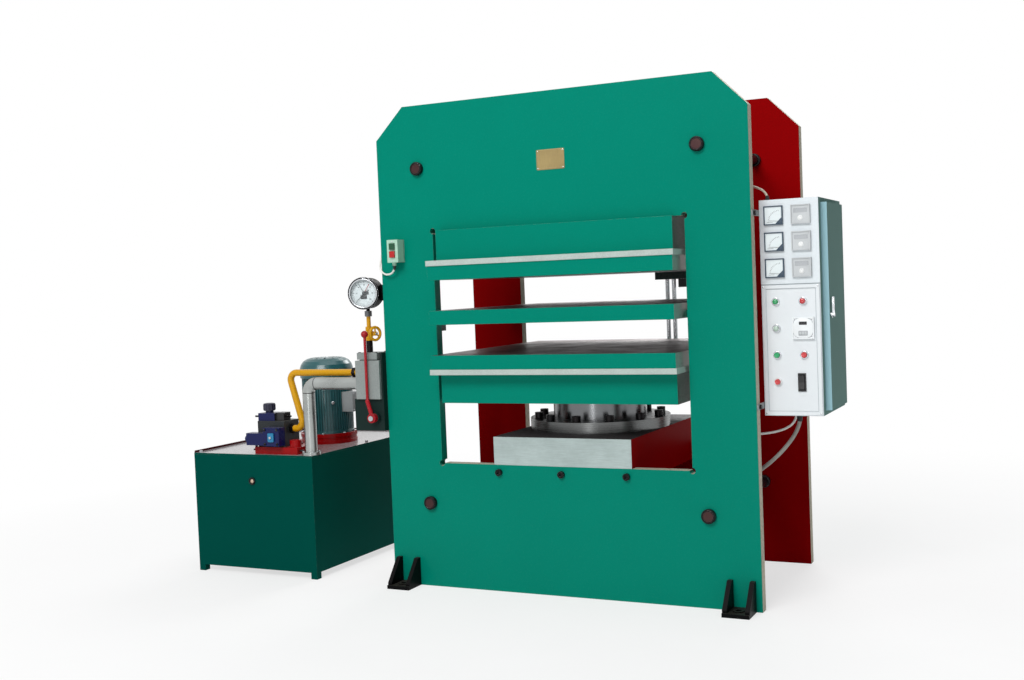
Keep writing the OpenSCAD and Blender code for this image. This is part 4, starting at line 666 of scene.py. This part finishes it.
def dress_power_unit():
    dress("tank_cover", COVER_SILVER, (past(2, TANK_TOP), BRIGHT_STEEL),
          (lambda c, n: abs(n.z) < 0.5, TANK_GREEN))
    dress("motor_frame", MOTOR_TEAL, (lambda c, n: c.x > BOX_X and BOX_FOOT < c.z < BOX_TOP, JUNCTION))
    dress("manifold", MANIFOLD_IRON,
          (lambda c, n: c.z < BASE_TOP + TOUCH or c.x > BASE_TONGUE_X, BASE_RED))
    dress("control_valves", NAVY, (valve_end, BLACK_OXIDE),
          (lambda c, n: c.x > TOP_VALVE_COIL and c.z > TOP_VALVE_Z, BLACK_PLASTIC))
    dress_plain(oil_tank=TANK_GREEN, motor_flange=BASE_RED, motor_cowl=MOTOR_TEAL, motor_rotor=DARK_STEEL,
                oil_pump=PUMP_IRON, relief_knob=NAVY_DARK)


def dress_instruments():
    rules = [(lambda c, n: c.x < METERS_RIGHT and c.z > FIELD_Z and n.y < -0.9 and c.y > METER_DIAL_Y - 1,
              DIAL_WHITE),
             (lambda c, n: c.x < METERS_RIGHT and c.z > FIELD_Z, INSTRUMENT_BLUE),
             (lambda c, n: c.z > FIELD_Z and n.y < -0.9 and c.y > CONTROLLER_FACE_Y - 1, CONTROLLER_FACE),
             (lambda c, n: c.z > FIELD_Z, INSTRUMENT_GREY),
             (lambda c, n: c.x > TIMER_LEFT and abs(c.z - BUTTON_ROWS[1]) < TIMER_HALF, TIMER_WHITE)]
    for x, row, lens in LAMPS:
        inside = near_front(x, row, LENS_R)
        rules.append((lambda c, n, inside=inside: inside(c, n) and c.y < LENS_FOOT_Y, lens))
        rules.append((near_front(x, row, COLLAR_R), PLATED))
    for x, row in COLLARED_KEYS:
        rules.append((near_front(x, row, COLLAR_R), PLATED))
    rules.append((near_front(LEFT_COLUMN, 3, COLLAR_R), KNOB_WHITE))
    dress("panel_instruments", BLACK_PLASTIC, *rules)


def right_gland(c, n):
    return c.x > LOW_GLAND_X + TOUCH or c.x > HIGH_GLAND_X + TOUCH and c.z > HIGH_GLAND_Z


def dress_cabinet():
    # The cabinet's right side gets the door's darker paint, which is painted shade.
    dress("cabinet_shell", CABINET, (lambda c, n: c.x > CAB_RIGHT + 0.5, BRIGHT_STEEL),
          (lambda c, n: n.x > 0.9 and c.x > CAB_RIGHT - 1, SIDE_PAINTED_SHADE))
    dress_instruments()
    # The door's face carries painted shade and its front edge painted light.
    dress("cabinet_door", SIDE_PAINTED_SHADE, (flat_to(1, -1), DOOR_EDGE_PAINTED_LIGHT))
    dress("cabinet_straps", JUNCTION, (lambda c, n: c.x > CAB_LEFT + TOUCH or c.x < HALF_PLATE, BLACK_OXIDE))
    dress("contactor_tray", TRAY, (lambda c, n: c.y < DEVICE_Y and c.z > FUSE_FOOT, KNOB_WHITE),
          (lambda c, n: c.y < DEVICE_Y, BLACK_PLASTIC))
    dress("terminal_boxes", JUNCTION, (right_gland, RUBBER), (past(0, LEFT_GLAND_X, -1), RUBBER))
    dress_plain(switch_panel=PANEL, start_push=PUSH_GREEN, stop_push=PUSH_RED, cycle_push=PUSH_RED,
                rocker_switch=BLACK_PLASTIC, door_handle=PLATED, button_station=MINT,
                raise_button=KEY_GREEN, lower_button=KEY_RED)


dress_frame()
dress_stack()
dress_valve_column()
dress_power_unit()
dress_cabinet()


# Shapes for the trim
def about_z(angle):
    return Matrix.Rotation(angle, 4, "Z")


FACING_UP = Matrix.Identity(4)
FACING_DOWN = Matrix.Rotation(math.pi, 4, "X")
FACING_FRONT = Matrix.Rotation(math.pi / 2, 4, "X")
FACING_RIGHT = about_z(math.pi / 2) @ FACING_FRONT
FACING_LEFT = about_z(-math.pi / 2) @ FACING_FRONT
IN_PLACE = [FACING_UP]
SHARP = math.radians(35)
EDGE_SEGMENTS = 2
DOME_STEPS = 6
SCREW_STEPS = 20
SOCKET_HEAD = [(0, 0.45), (0.5, 0.45), (0.55, 1), (0.88, 1), (1, 0.86), (1, 0), (0, 0)]
ROUND_HEAD = [(0, 1), (0.55, 0.94), (0.88, 0.6), (1, 0), (0, 0)]


def at(x, y, z, facing=FACING_UP, spin=0.0):
    return Matrix.Translation((x * MM, y * MM, z * MM)) @ facing @ about_z(spin)


def on_front(x, y, z):
    return at(x, y, z, FACING_FRONT)


def at_corners(centre, half_width, half_height, lift=0):
    return [centre @ at(sx * half_width, sy * half_height, lift) for sx in (-1, 1) for sy in (-1, 1)]


def in_circle(x, y, z, radius, count, follow=1):
    """Places spaced around an upright axis. Each turns with its angle, or not with a follow of 0."""
    angles = [(i + 0.5) * math.tau / count for i in range(count)]
    return [at(x + radius * math.cos(a), y + radius * math.sin(a), z, FACING_UP, a * follow) for a in angles]


def soften(part, width):
    sharp = [e for e in part.edges if e.calc_face_angle(0) > SHARP]
    bmesh.ops.bevel(part, geom=sharp, offset=width * MM, offset_type="OFFSET", affect="EDGES",
                    segments=EDGE_SEGMENTS, profile=0.5, material=-1)


def slab(x, y, z, edge=0.0):
    part = bmesh.new()
    bmesh.ops.create_cube(part, size=1)
    spans = (x, y, z)
    bmesh.ops.scale(part, vec=[(b - a) * MM for a, b in spans], verts=part.verts)
    bmesh.ops.translate(part, vec=[(a + b) / 2 * MM for a, b in spans], verts=part.verts)
    if edge:
        soften(part, edge)
    return part


def turned(profile, steps=28):
    part = bmesh.new()
    points = [part.verts.new((r * MM, 0, h * MM)) for r, h in profile]
    lines = [part.edges.new(pair) for pair in zip(points, points[1:])]
    bmesh.ops.spin(part, geom=points + lines, cent=(0, 0, 0), axis=(0, 0, 1), angle=math.tau, steps=steps,
                   use_merge=True)
    bmesh.ops.remove_doubles(part, verts=part.verts, dist=1e-7)
    bmesh.ops.recalc_face_normals(part, faces=part.faces)
    return part


def prism(outline, depth, edge=0.0):
    part = bmesh.new()
    for level in (0, depth):
        part.faces.new([part.verts.new((x * MM, y * MM, level * MM)) for x, y in outline])
    bmesh.ops.bridge_loops(part, edges=part.edges)
    bmesh.ops.recalc_face_normals(part, faces=part.faces)
    if edge:
        soften(part, edge)
    return part


def hexagon(across_flats):
    radius = across_flats / 2 / math.cos(math.pi / 6)
    return [(radius * math.cos(i * math.pi / 3), radius * math.sin(i * math.pi / 3)) for i in range(6)]


def rounded(width, height, radius, steps=5):
    points = []
    corners = ((1, 1), (-1, 1), (-1, -1), (1, -1))
    for quarter, (sx, sy) in enumerate(corners):
        for i in range(steps + 1):
            angle = (quarter + i / steps) * math.pi / 2
            points.append((sx * (width / 2 - radius) + radius * math.cos(angle),
                           sy * (height / 2 - radius) + radius * math.sin(angle)))
    return points


def framed_plate(width, height, radius, depth, rim, drop):
    """A plate whose field lies a little under its rim."""
    part = prism(rounded(width, height, radius), depth, 0.3)
    field = max(part.faces, key=lambda f: f.calc_center_median().z)
    bmesh.ops.inset_region(part, faces=[field], thickness=rim * MM)
    bmesh.ops.inset_region(part, faces=[field], thickness=0.4 * MM, depth=-drop * MM)
    return part


def digits(number, size, depth):
    curve = bpy.data.curves.new("digits", "FONT")
    curve.body = str(number)
    curve.size = size * MM
    curve.extrude = depth / 2 * MM
    curve.align_x = "CENTER"
    curve.align_y = "CENTER"
    curve.resolution_u = 3
    writing = put_in_scene("digits", curve)
    solid = writing.evaluated_get(bpy.context.evaluated_depsgraph_get())
    part = bmesh.new()
    part.from_mesh(solid.to_mesh())
    solid.to_mesh_clear()
    bpy.data.objects.remove(writing)
    bpy.data.curves.remove(curve)
    return part


def piece(name, parts, body=FRAME_BODY):
    """Joins shapes, each with its finish and its places, into one piece that rides on a body."""
    whole = bmesh.new()
    finishes = []
    for part, finish, places in parts:
        if finish not in finishes:
            finishes.append(finish)
        for face in part.faces:
            face.material_index = finishes.index(finish)
            face.smooth = True
        scrap = bpy.data.meshes.new("scrap")
        for place in places:
            copy = part.copy()
            copy.transform(place)
            copy.to_mesh(scrap)
            copy.free()
            whole.from_mesh(scrap)
        bpy.data.meshes.remove(scrap)
        part.free()
    mesh = bpy.data.meshes.new(name)
    whole.to_mesh(mesh)
    whole.free()
    for finish in finishes:
        mesh.materials.append(finish)
    mesh.set_sharp_from_angle(angle=SHARP)
    made = put_in_scene(name, mesh)
    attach(made, body)
    return made


def ring(outer, inner, height, edge):
    return turned([(inner, 0), (inner, height - edge), (inner + edge, height), (outer - edge, height),
                   (outer, height - edge), (outer, 0), (inner, 0)])


def dome(radius, height):
    angles = [i * math.pi / 2 / DOME_STEPS for i in range(DOME_STEPS + 1)]
    return turned([*[(radius * math.sin(a), height * math.cos(a)) for a in angles], (0, 0)])


def screw(head, radius, height):
    """A screw's head, from a profile with a radius and a height of one."""
    return turned([(r * radius, h * height) for r, h in head], SCREW_STEPS)


def hex_bolt(across_flats, height):
    return prism(hexagon(across_flats), height, height * 0.16)


# Trim on the frame
MAKER_PLATE = (3, PLATE_FACE_Y, 1749)
MAKER_PLATE_W, MAKER_PLATE_H, MAKER_PLATE_T = 120, 80, 1.6
MAKER_SCREW_INSET = 6


def make_maker_plate():
    face = on_front(*MAKER_PLATE)
    screws = at_corners(face, MAKER_PLATE_W / 2 - MAKER_SCREW_INSET, MAKER_PLATE_H / 2 - MAKER_SCREW_INSET,
                        MAKER_PLATE_T)
    piece("maker_plate", [
        (framed_plate(MAKER_PLATE_W, MAKER_PLATE_H, 4, MAKER_PLATE_T, 5, 0.5), BRASS, [face]),
        (screw(ROUND_HEAD, 2.6, 1.2), BRIGHT_STEEL, screws)])


# Pressure gauge
SCALE_STEPS = 30
STEPS_PER_NUMBER = 5
SCALE_START = math.radians(225)
SCALE_SWEEP = math.radians(270)
NUMBER_R = 36
NUMBER_SIZE = 8.5
ARM_ANGLE = math.radians(60)
PRINT = (0.05, 0.4)
GAUGE_STEPS = 64
GAUGE_FRONT = 18 - GAUGE_DIAL_Y
GAUGE_LIP = [(57.6, -2), (57.6, 0.8), (59, 1.8), (62, 1.8), (63.4, 0.8), (63.4, -2), (57.6, -2)]
GAUGE_SHELL = [(63, -1), (63, 1.6), (65.5, 1.4), (68, 0), (69.2, -3), (69.2, -11), (67, -11.4), (67, -1),
               (63, -1)]


def make_gauge_trim():
    gauge = at(*GAUGE_AT) @ about_z(GAUGE_TURN) @ FACING_FRONT
    face = gauge @ at(0, 0, -GAUGE_DIAL_Y)
    long_ticks = []
    short_ticks = []
    parts = []
    for i in range(SCALE_STEPS + 1):
        angle = SCALE_START - SCALE_SWEEP * i / SCALE_STEPS
        place = face @ about_z(angle)
        if i % STEPS_PER_NUMBER:
            short_ticks.append(place)
        else:
            long_ticks.append(place)
            number = face @ at(NUMBER_R * math.cos(angle), NUMBER_R * math.sin(angle), 0.3)
            parts.append((digits(i // STEPS_PER_NUMBER * 10, NUMBER_SIZE, 0.4), PRINT_BLACK, [number]))
    hub = [(0, 2.6), (9, 2.6), (10, 1.8), (10, 0.05), (0, 0.05)]
    post = [(0, 3.6), (2.6, 3.4), (3, 2.2), (3, 0.05), (0, 0.05)]
    parts += [
        (slab((45, 54), (-0.8, 0.8), PRINT), PRINT_BLACK, long_ticks),
        (slab((49, 54), (-0.4, 0.4), PRINT), PRINT_BLACK, short_ticks),
        (turned(hub), BLACK_PLASTIC, [face]),
        (slab((-17, 11), (-24, -8), (0.05, 3.2), 0.8), BLACK_PLASTIC, [face]),
        (slab((-6, 19), (-6, 9), (0.05, 2.2), 0.6), BLACK_PLASTIC, [face]),
        (slab((6, 44), (-0.9, 0.9), (2.6, 3.2)), PRINT_RED, [face @ about_z(ARM_ANGLE)]),
        (slab((6, 44), (-0.9, 0.9), (3.3, 3.9)), PRINT_BLACK, [face @ about_z(math.pi - ARM_ANGLE)]),
        (turned(post), BLACK_PLASTIC, [face @ at(17, 13, 0)])]
    piece("gauge_scale", parts)
    front = [gauge @ at(0, 0, GAUGE_FRONT)]
    piece("gauge_rim", [(turned(GAUGE_LIP, GAUGE_STEPS), PLATED, front),
                                       (turned(GAUGE_SHELL, GAUGE_STEPS), GAUGE_BLACK, front)])


# Cabinet front
METER_PIVOT = 22
METER_TICKS = 11
FIRST_TICK, TICK_STEP, ZERO_ANGLE = 94, 8.2, 176
METER_PRINT = (0.05, 0.35)
METER_CORNER = [(31.4, -31.4), (31.4, -8), (8, -31.4)]
KNOB_DROP = -14
KNOB = [(0, 2.6), (6.5, 2.5), (7.6, 2), (8, 1), (9.6, 0.7), (9.8, 0.05), (0, 0.05)]
TIMER_KEYS_Z = -19
TIMER_SCREW = 32
COLLAR = (15.4, 10.5, 5.6, 1.2)
PANEL_SCREW_INSET = 9
PANEL_LINE_INSET = 18
PANEL_LINE_HALF = 0.9
PUSH_CAP = [(0, 0.5), (5.5, 0.7), (8.2, 1.5), (9.4, 1.2), (9.9, 0), (0, 0)]


def make_ammeters():
    faces = [on_front(LEFT_COLUMN, METER_DIAL_Y, z) for z in METER_ROWS]
    pivots = [face @ at(METER_PIVOT, -METER_PIVOT, 0) for face in faces]
    ticks = []
    for i in range(METER_TICKS):
        spin = about_z(math.radians(FIRST_TICK + TICK_STEP * i))
        ticks += [pivot @ spin for pivot in pivots]
    zero = about_z(math.radians(ZERO_ANGLE))
    piece("ammeter_faces", [
        (prism(METER_CORNER, 1.4, 0.2), INSTRUMENT_BLUE, faces),
        (slab((37, 42), (-0.5, 0.5), METER_PRINT), PRINT_BLACK, ticks),
        (slab((4, 40), (-0.5, 0.5), (0.8, 1.2)), PRINT_BLACK, [pivot @ zero for pivot in pivots]),
        (slab((-24, -2), (-25.4, -24.4), METER_PRINT), PRINT_BLACK, faces)])


def make_controllers():
    faces = [on_front(RIGHT_COLUMN, CONTROLLER_FACE_Y, z) for z in METER_ROWS]
    knobs = [face @ at(0, KNOB_DROP, 0) for face in faces]
    piece("controller_faces", [
        (framed_plate(50, 16, 2, 0.9, 1.2, 0.3), WINDOW_GREY, [face @ at(0, 14, 0) for face in faces]),
        (turned(KNOB), KNOB_WHITE, knobs),
        (slab((-0.5, 0.5), (2, 7.2), (2.3, 2.7)), WINDOW_GREY, knobs)])


def make_timer():
    face = on_front(RIGHT_COLUMN, TIMER_FACE_Y, BUTTON_ROWS[1])
    keys = [face @ at(x, TIMER_KEYS_Z, 2.5) for x in (-10, 0, 10)]
    piece("timer_face", [
        (prism(rounded(75, 75, 25, 8), 1.2, 0.3), WINDOW_GREY, [face]),
        (prism(rounded(72, 72, 23.5, 8), 2.4, 0.6), TIMER_WHITE, [face]),
        (framed_plate(29, 12, 1.5, 1, 1, 0.4), PRINT_BLACK, [face @ at(0, 18, 2.2)]),
        (prism(rounded(34, 18, 2), 0.6, 0.2), WINDOW_GREY, [face @ at(0, TIMER_KEYS_Z, 2.2)]),
        (prism(rounded(7.6, 11, 1.2), 1.2, 0.3), INSTRUMENT_GREY, keys),
        (screw(ROUND_HEAD, 2.4, 1), BRIGHT_STEEL, at_corners(face, TIMER_SCREW, TIMER_SCREW))])


def make_panel_trim():
    parts = [(dome(9.8, 3.4), lens, [on_front(x, LENS_Y, BUTTON_ROWS[row])]) for x, row, lens in LAMPS]
    collared = [(x, row) for x, row, _ in LAMPS] + COLLARED_KEYS
    parts.append((ring(*COLLAR), PLATED, [on_front(x, PANEL_Y, BUTTON_ROWS[row]) for x, row in collared]))
    parts.append((ring(*COLLAR), KNOB_WHITE, [on_front(LEFT_COLUMN, PANEL_Y, BUTTON_ROWS[3])]))
    screws = [on_front(x, RIM_Y, z) for x in (CAB_LEFT + PANEL_SCREW_INSET, CAB_RIGHT - PANEL_SCREW_INSET)
              for z in (CAB_FOOT + PANEL_SCREW_INSET, FIELD_Z - PANEL_SCREW_INSET)]
    parts.append((screw(ROUND_HEAD, 3.4, 1.6), BRIGHT_STEEL, screws))
    across_panel = (CAB_LEFT + PANEL_LINE_INSET, CAB_RIGHT - PANEL_LINE_INSET)
    up_panel = (CAB_FOOT + PANEL_LINE_INSET, FIELD_Z - PANEL_LINE_INSET)
    skin = (PANEL_Y - 0.4, PANEL_Y + 0.1)
    for z in up_panel:
        line = slab(across_panel, skin, (z - PANEL_LINE_HALF, z + PANEL_LINE_HALF))
        parts.append((line, PANEL_LINE, IN_PLACE))
    for x in across_panel:
        line = slab((x - PANEL_LINE_HALF, x + PANEL_LINE_HALF), skin, up_panel)
        parts.append((line, PANEL_LINE, IN_PLACE))
    seam = slab((CAB_LEFT + 0.5, CAB_RIGHT - 0.5), (CAB_FRONT - 0.5, CAB_FRONT + 0.2),
                (FIELD_Z - 1.6, FIELD_Z + 1.2))
    parts.append((seam, LINE_GREY, IN_PLACE))
    piece("panel_trim", parts)
    for name, x, row, finish, slot in (("start", LEFT_COLUMN, 2, PUSH_GREEN, "key_green"),
                                       ("stop", RIGHT_COLUMN, 2, PUSH_RED, "key_red"),
                                       ("cycle", LEFT_COLUMN, 3, PUSH_RED, "key_red")):
        top = on_front(x, LENS_Y, BUTTON_ROWS[row])
        piece(name + "_cap", [(turned(PUSH_CAP), finish, [top])], name + "_key")


# Button station on the frame's left edge
STATION_X, STATION_Y = -711, -489
STATION_FOOT, STATION_TOP = 1372, 1467
STATION_HALF = 26.5
STATION_SEAM = (-441, -439.6)
STATION_SCREW_INSET = 8


def make_station_trim():
    screws = [on_front(STATION_X, STATION_Y, z)
              for z in (STATION_FOOT + STATION_SCREW_INSET, STATION_TOP - STATION_SCREW_INSET)]
    seam = slab((STATION_X - STATION_HALF, STATION_X + STATION_HALF), STATION_SEAM,
                (STATION_FOOT - 0.5, STATION_TOP + 0.5), 0.3)
    piece("station_trim", [
        (seam, BLACK_PLASTIC, IN_PLACE), (screw(ROUND_HEAD, 3, 1.4), BRIGHT_STEEL, screws)])


# Hydraulic unit
LIP_T = 5
LIP_Z = (TANK_TOP - 1, TANK_TOP + 9)
SIGHT_AT = (-1494, TANK_FRONT, 425)
FLANGE_BOLT_R = 127
COWL_SCREW_AT = (125.6, 0, 868)
EARTH_TURN = math.radians(-44)
EARTH_AT = (117, 0, 738)
EARTH_STUD = [(0, 7), (5, 6.6), (7.5, 4), (7.5, 0), (0, 0)]
BOX_LID_AT = (MOTOR_X + 167, MOTOR_Y, 739.5)
LID_W, LID_H, LID_T = 78, 91, 3
MANIFOLD_FRONT = -501
MANIFOLD_SCREW_X, MANIFOLD_SCREW_Z = (-1409, -1342), (594, 658)
COIL_X, COIL_Z, COIL_T = -1374, 624, 7
BASE_STUDS = ((-1490, FACING_LEFT), (-1258, FACING_RIGHT))
BASE_STUD_Y, BASE_STUD_Z = (-450, -390), 562
BASE_STUD = [(0, 22), (3.4, 21.4), (4, 20), (4, 0), (0, 0)]
BASE_SCREW_X, BASE_SCREW_Y = (-1487, -1328), (-462, -338)
RELIEF_TOP = (-1445, -410, 767)
RELIEF_CAP = [(0, 1.6), (19, 1.6), (23.5, 0.2), (23.5, 0), (0, 0)]


def make_tank_trim():
    lips = [slab((TANK_LEFT, TANK_LEFT + LIP_T), (TANK_FRONT + 2, TANK_REAR), LIP_Z, 0.8),
            slab((TANK_LEFT + LIP_T, TANK_RIGHT), (TANK_REAR - LIP_T, TANK_REAR), LIP_Z, 0.8)]
    piece("cover_lip", [(lip, LIP_RED, IN_PLACE) for lip in lips])
    sight = on_front(*SIGHT_AT)
    piece("sight_glass", [
        (ring(17, 10, 7, 1.6), BLACK_OXIDE, [sight]), (dome(10.2, 5), LENS_OIL, [sight @ at(0, 0, 1)])])


def make_motor_trim():
    axis = at(MOTOR_X, MOTOR_Y, 0)
    screw_place = at(*COWL_SCREW_AT, FACING_RIGHT)
    cowl = [axis @ about_z((i + 0.5) * math.pi / 2) @ screw_place for i in range(4)]
    earth = axis @ about_z(EARTH_TURN) @ at(*EARTH_AT, FACING_RIGHT)
    lid = at(*BOX_LID_AT, FACING_RIGHT)
    piece("motor_trim", [
        (hex_bolt(13, 6), BRIGHT_STEEL, in_circle(MOTOR_X, MOTOR_Y, MOTOR_FOOT, FLANGE_BOLT_R, 8)),
        (screw(ROUND_HEAD, 4, 2.4), BRIGHT_STEEL, cowl),
        (turned(EARTH_STUD), PLATED, [earth]),
        (prism(rounded(LID_W, LID_H, 6), LID_T, 0.8), JUNCTION, [lid]),
        (screw(ROUND_HEAD, 3.4, 1.8), BRIGHT_STEEL, at_corners(lid, 32, 38, LID_T))])


def make_manifold_trim():
    corners = [on_front(x, MANIFOLD_FRONT, z) for x in MANIFOLD_SCREW_X for z in MANIFOLD_SCREW_Z]
    studs = [at(x, y, BASE_STUD_Z, facing) for x, facing in BASE_STUDS for y in BASE_STUD_Y]
    base_screws = [at(x, y, BASE_TOP) for x in BASE_SCREW_X for y in BASE_SCREW_Y]
    coil = on_front(COIL_X, MANIFOLD_FRONT, COIL_Z)
    piece("manifold_trim", [
        (screw(SOCKET_HEAD, 5.5, 5), BLACK_OXIDE, corners),
        (prism(rounded(32, 40, 5), COIL_T, 1.2), COIL_BLUE, [coil]),
        (hex_bolt(11, 5), BRIGHT_STEEL, [on_front(COIL_X, MANIFOLD_FRONT - COIL_T, COIL_Z)]),
        (turned(BASE_STUD, 16), DARK_STEEL, studs),
        (screw(SOCKET_HEAD, 6, 5), BLACK_OXIDE, base_screws)])
    piece("relief_cap", [(turned(RELIEF_CAP), NAVY_DARK, [at(*RELIEF_TOP)])], "relief")


# Pipes, valve column and wheel
RETURN_X, RETURN_Y, RETURN_Z = -1200, -445, 861
RETURN_BEND = 42
RETURN_FLANGE_Z, RETURN_BOLT_R = 558, 34.5
WELD_BEAD = [(26.6, -2), (27.5, -1.6), (27.9, 0), (27.5, 1.6), (26.6, 2), (26.6, -2)]
VALVE_LEFT = -928
PRESSURE_NUT = (-976, -400, 905)
VALVE_CAP_X, VALVE_CAP_Y, VALVE_CAP_TOP = (-913, -831), (-463, -385), 994
WHEEL_AT = (-888, -420, 1074)
WHEEL_TURN = math.radians(-19)
WHEEL_REACH = 48


def make_pipe_trim():
    piece("return_pipe_trim", [
        (turned(WELD_BEAD), DARK_STEEL, [at(RETURN_X, RETURN_Y, RETURN_Z - RETURN_BEND),
                                         at(RETURN_X + RETURN_BEND, RETURN_Y, RETURN_Z, FACING_RIGHT)]),
        (ring(34, 26.8, 12, 1.5), SILVER, [at(VALVE_LEFT, RETURN_Y, RETURN_Z, FACING_LEFT)]),
        (hex_bolt(10, 5), BRIGHT_STEEL,
         in_circle(RETURN_X, RETURN_Y, RETURN_FLANGE_Z, RETURN_BOLT_R, 4, follow=0))])
    nut = prism(hexagon(42), 14, 1.4)
    piece("pressure_nut", [(nut, BLACK_OXIDE, [at(*PRESSURE_NUT, FACING_LEFT)])])


def make_valve_trim():
    cap = [at(x, y, VALVE_CAP_TOP) for x in VALVE_CAP_X for y in VALVE_CAP_Y]
    piece("valve_cap_screws", [(screw(SOCKET_HEAD, 6.5, 2.6), BLACK_OXIDE, cap)])
    hub = at(*WHEEL_AT) @ about_z(WHEEL_TURN) @ at(WHEEL_REACH, 0, 0, FACING_RIGHT)
    piece("wheel_nut", [(hex_bolt(10, 5), BRIGHT_STEEL, [hub])], "wheel")


def boot(lead_d, length):
    """A tapered sleeve where a lead leaves its gland."""
    r = lead_d / 2
    bore = r - 0.4
    return turned([(bore, 0), (r * 1.62, 0), (r * 1.62, length * 0.2), (r * 1.2, length * 0.94),
                   (r + 0.2, length), (bore, length), (bore, 0)])


def make_lead_boots():
    piece("lead_boots", [
        (boot(8, 16), RUBBER, [at(-720, -462, 1357.5, FACING_DOWN), at(-754, -370, 1496, FACING_LEFT)]),
        (boot(9, 18), RUBBER, [at(636, -320, 1610, FACING_RIGHT), at(653, -320, 653, FACING_RIGHT),
                               at(859, -62, 714.5, FACING_DOWN)]),
        (boot(9, 12), RUBBER, [at(826, -289, 1545)]),
        (boot(15, 28), RUBBER, [at(653, -320, 466, FACING_RIGHT), at(895, -160, 714.5, FACING_DOWN)])])


make_maker_plate()
make_gauge_trim()
make_ammeters()
make_controllers()
make_timer()
make_panel_trim()
make_station_trim()
make_tank_trim()
make_motor_trim()
make_manifold_trim()
make_pipe_trim()
make_valve_trim()
make_lead_boots()


# Stage and light
BACKDROP_RAYS = ("Is Camera Ray", "Is Glossy Ray", "Is Transmission Ray")
FLOOR_R = 26
FADE_START, FADE_END = 1.5, 4.2
SKY_TINT = (0.95, 0.98, 1, 1)
SKY_STRENGTH = 0.22


def sees_backdrop(tree):
    path = shade(tree, "LightPath")
    seen = path.outputs[BACKDROP_RAYS[0]]
    for ray in BACKDROP_RAYS[1:]:
        seen = maths(tree, "MAXIMUM", seen, path.outputs[ray])
    return seen


def make_floor():
    shape = bmesh.new()
    bmesh.ops.create_circle(shape, cap_ends=True, segments=96, radius=FLOOR_R)
    mesh = bpy.data.meshes.new("floor")
    shape.to_mesh(mesh)
    shape.free()
    floor = put_in_scene("floor", mesh)
    material, tree, surface = new_material("pale_floor", {"Roughness": 0.7, "Specular IOR Level": 0.2})
    grain = noise(tree, here(tree), 3, 4)
    pale = blend_colours(tree, grain, tint(236, 236, 236), tint(244, 244, 244))
    tree.links.new(pale, surface.inputs["Base Color"])
    glow = shade(tree, "Emission", {"Color": WHITE, "Strength": 1.0})
    distance = vectors(tree, "LENGTH", here(tree))["Value"]
    fade = times(tree, spread(tree, distance, FADE_START, FADE_END, 0.66, 1), sees_backdrop(tree))
    mix = shade(tree, "MixShader", {0: fade, 1: surface.outputs[0], 2: glow.outputs[0]})
    tree.links.new(mix.outputs[0], tree.nodes["Material Output"].inputs["Surface"])
    mesh.materials.append(material)


def make_world():
    world = bpy.data.worlds.new("studio")
    SCENE.world = world
    world.use_nodes = True
    tree = world.node_tree
    soft = tree.nodes["Background"]
    soft.inputs["Color"].default_value = SKY_TINT
    soft.inputs["Strength"].default_value = SKY_STRENGTH
    white = shade(tree, "Background", {"Color": WHITE, "Strength": 1.0})
    mix = shade(tree, "MixShader", {0: sees_backdrop(tree), 1: soft.outputs[0], 2: white.outputs[0]})
    tree.links.new(mix.outputs[0], tree.nodes["World Output"].inputs["Surface"])


def softbox(name, place, aim, size, power):
    data = bpy.data.lights.new(name, "AREA")
    data.shape = "RECTANGLE"
    data.size, data.size_y = size
    data.energy = power
    lamp = put_in_scene(name, data)
    lamp.location = place
    lamp.rotation_euler = (Vector(aim) - Vector(place)).to_track_quat("-Z", "Y").to_euler()


make_floor()
make_world()
softbox("front_light", (-0.3, -6.6, 6.0), (-0.2, 0, 0.9), (4.2, 3.0), 440)
softbox("strip_light", (0.4, -6.2, 1.1), (-0.4, 0, 0.8), (0.3, 2.0), 28)
softbox("top_light", (-0.2, -0.6, 5.2), (-0.2, 0, 0), (4.0, 3.0), 60)
softbox("back_light", (-0.6, 6.8, 5.4), (-0.2, 0, 0.9), (4.2, 3.0), 330)
SCENE.view_settings.view_transform = "Standard"
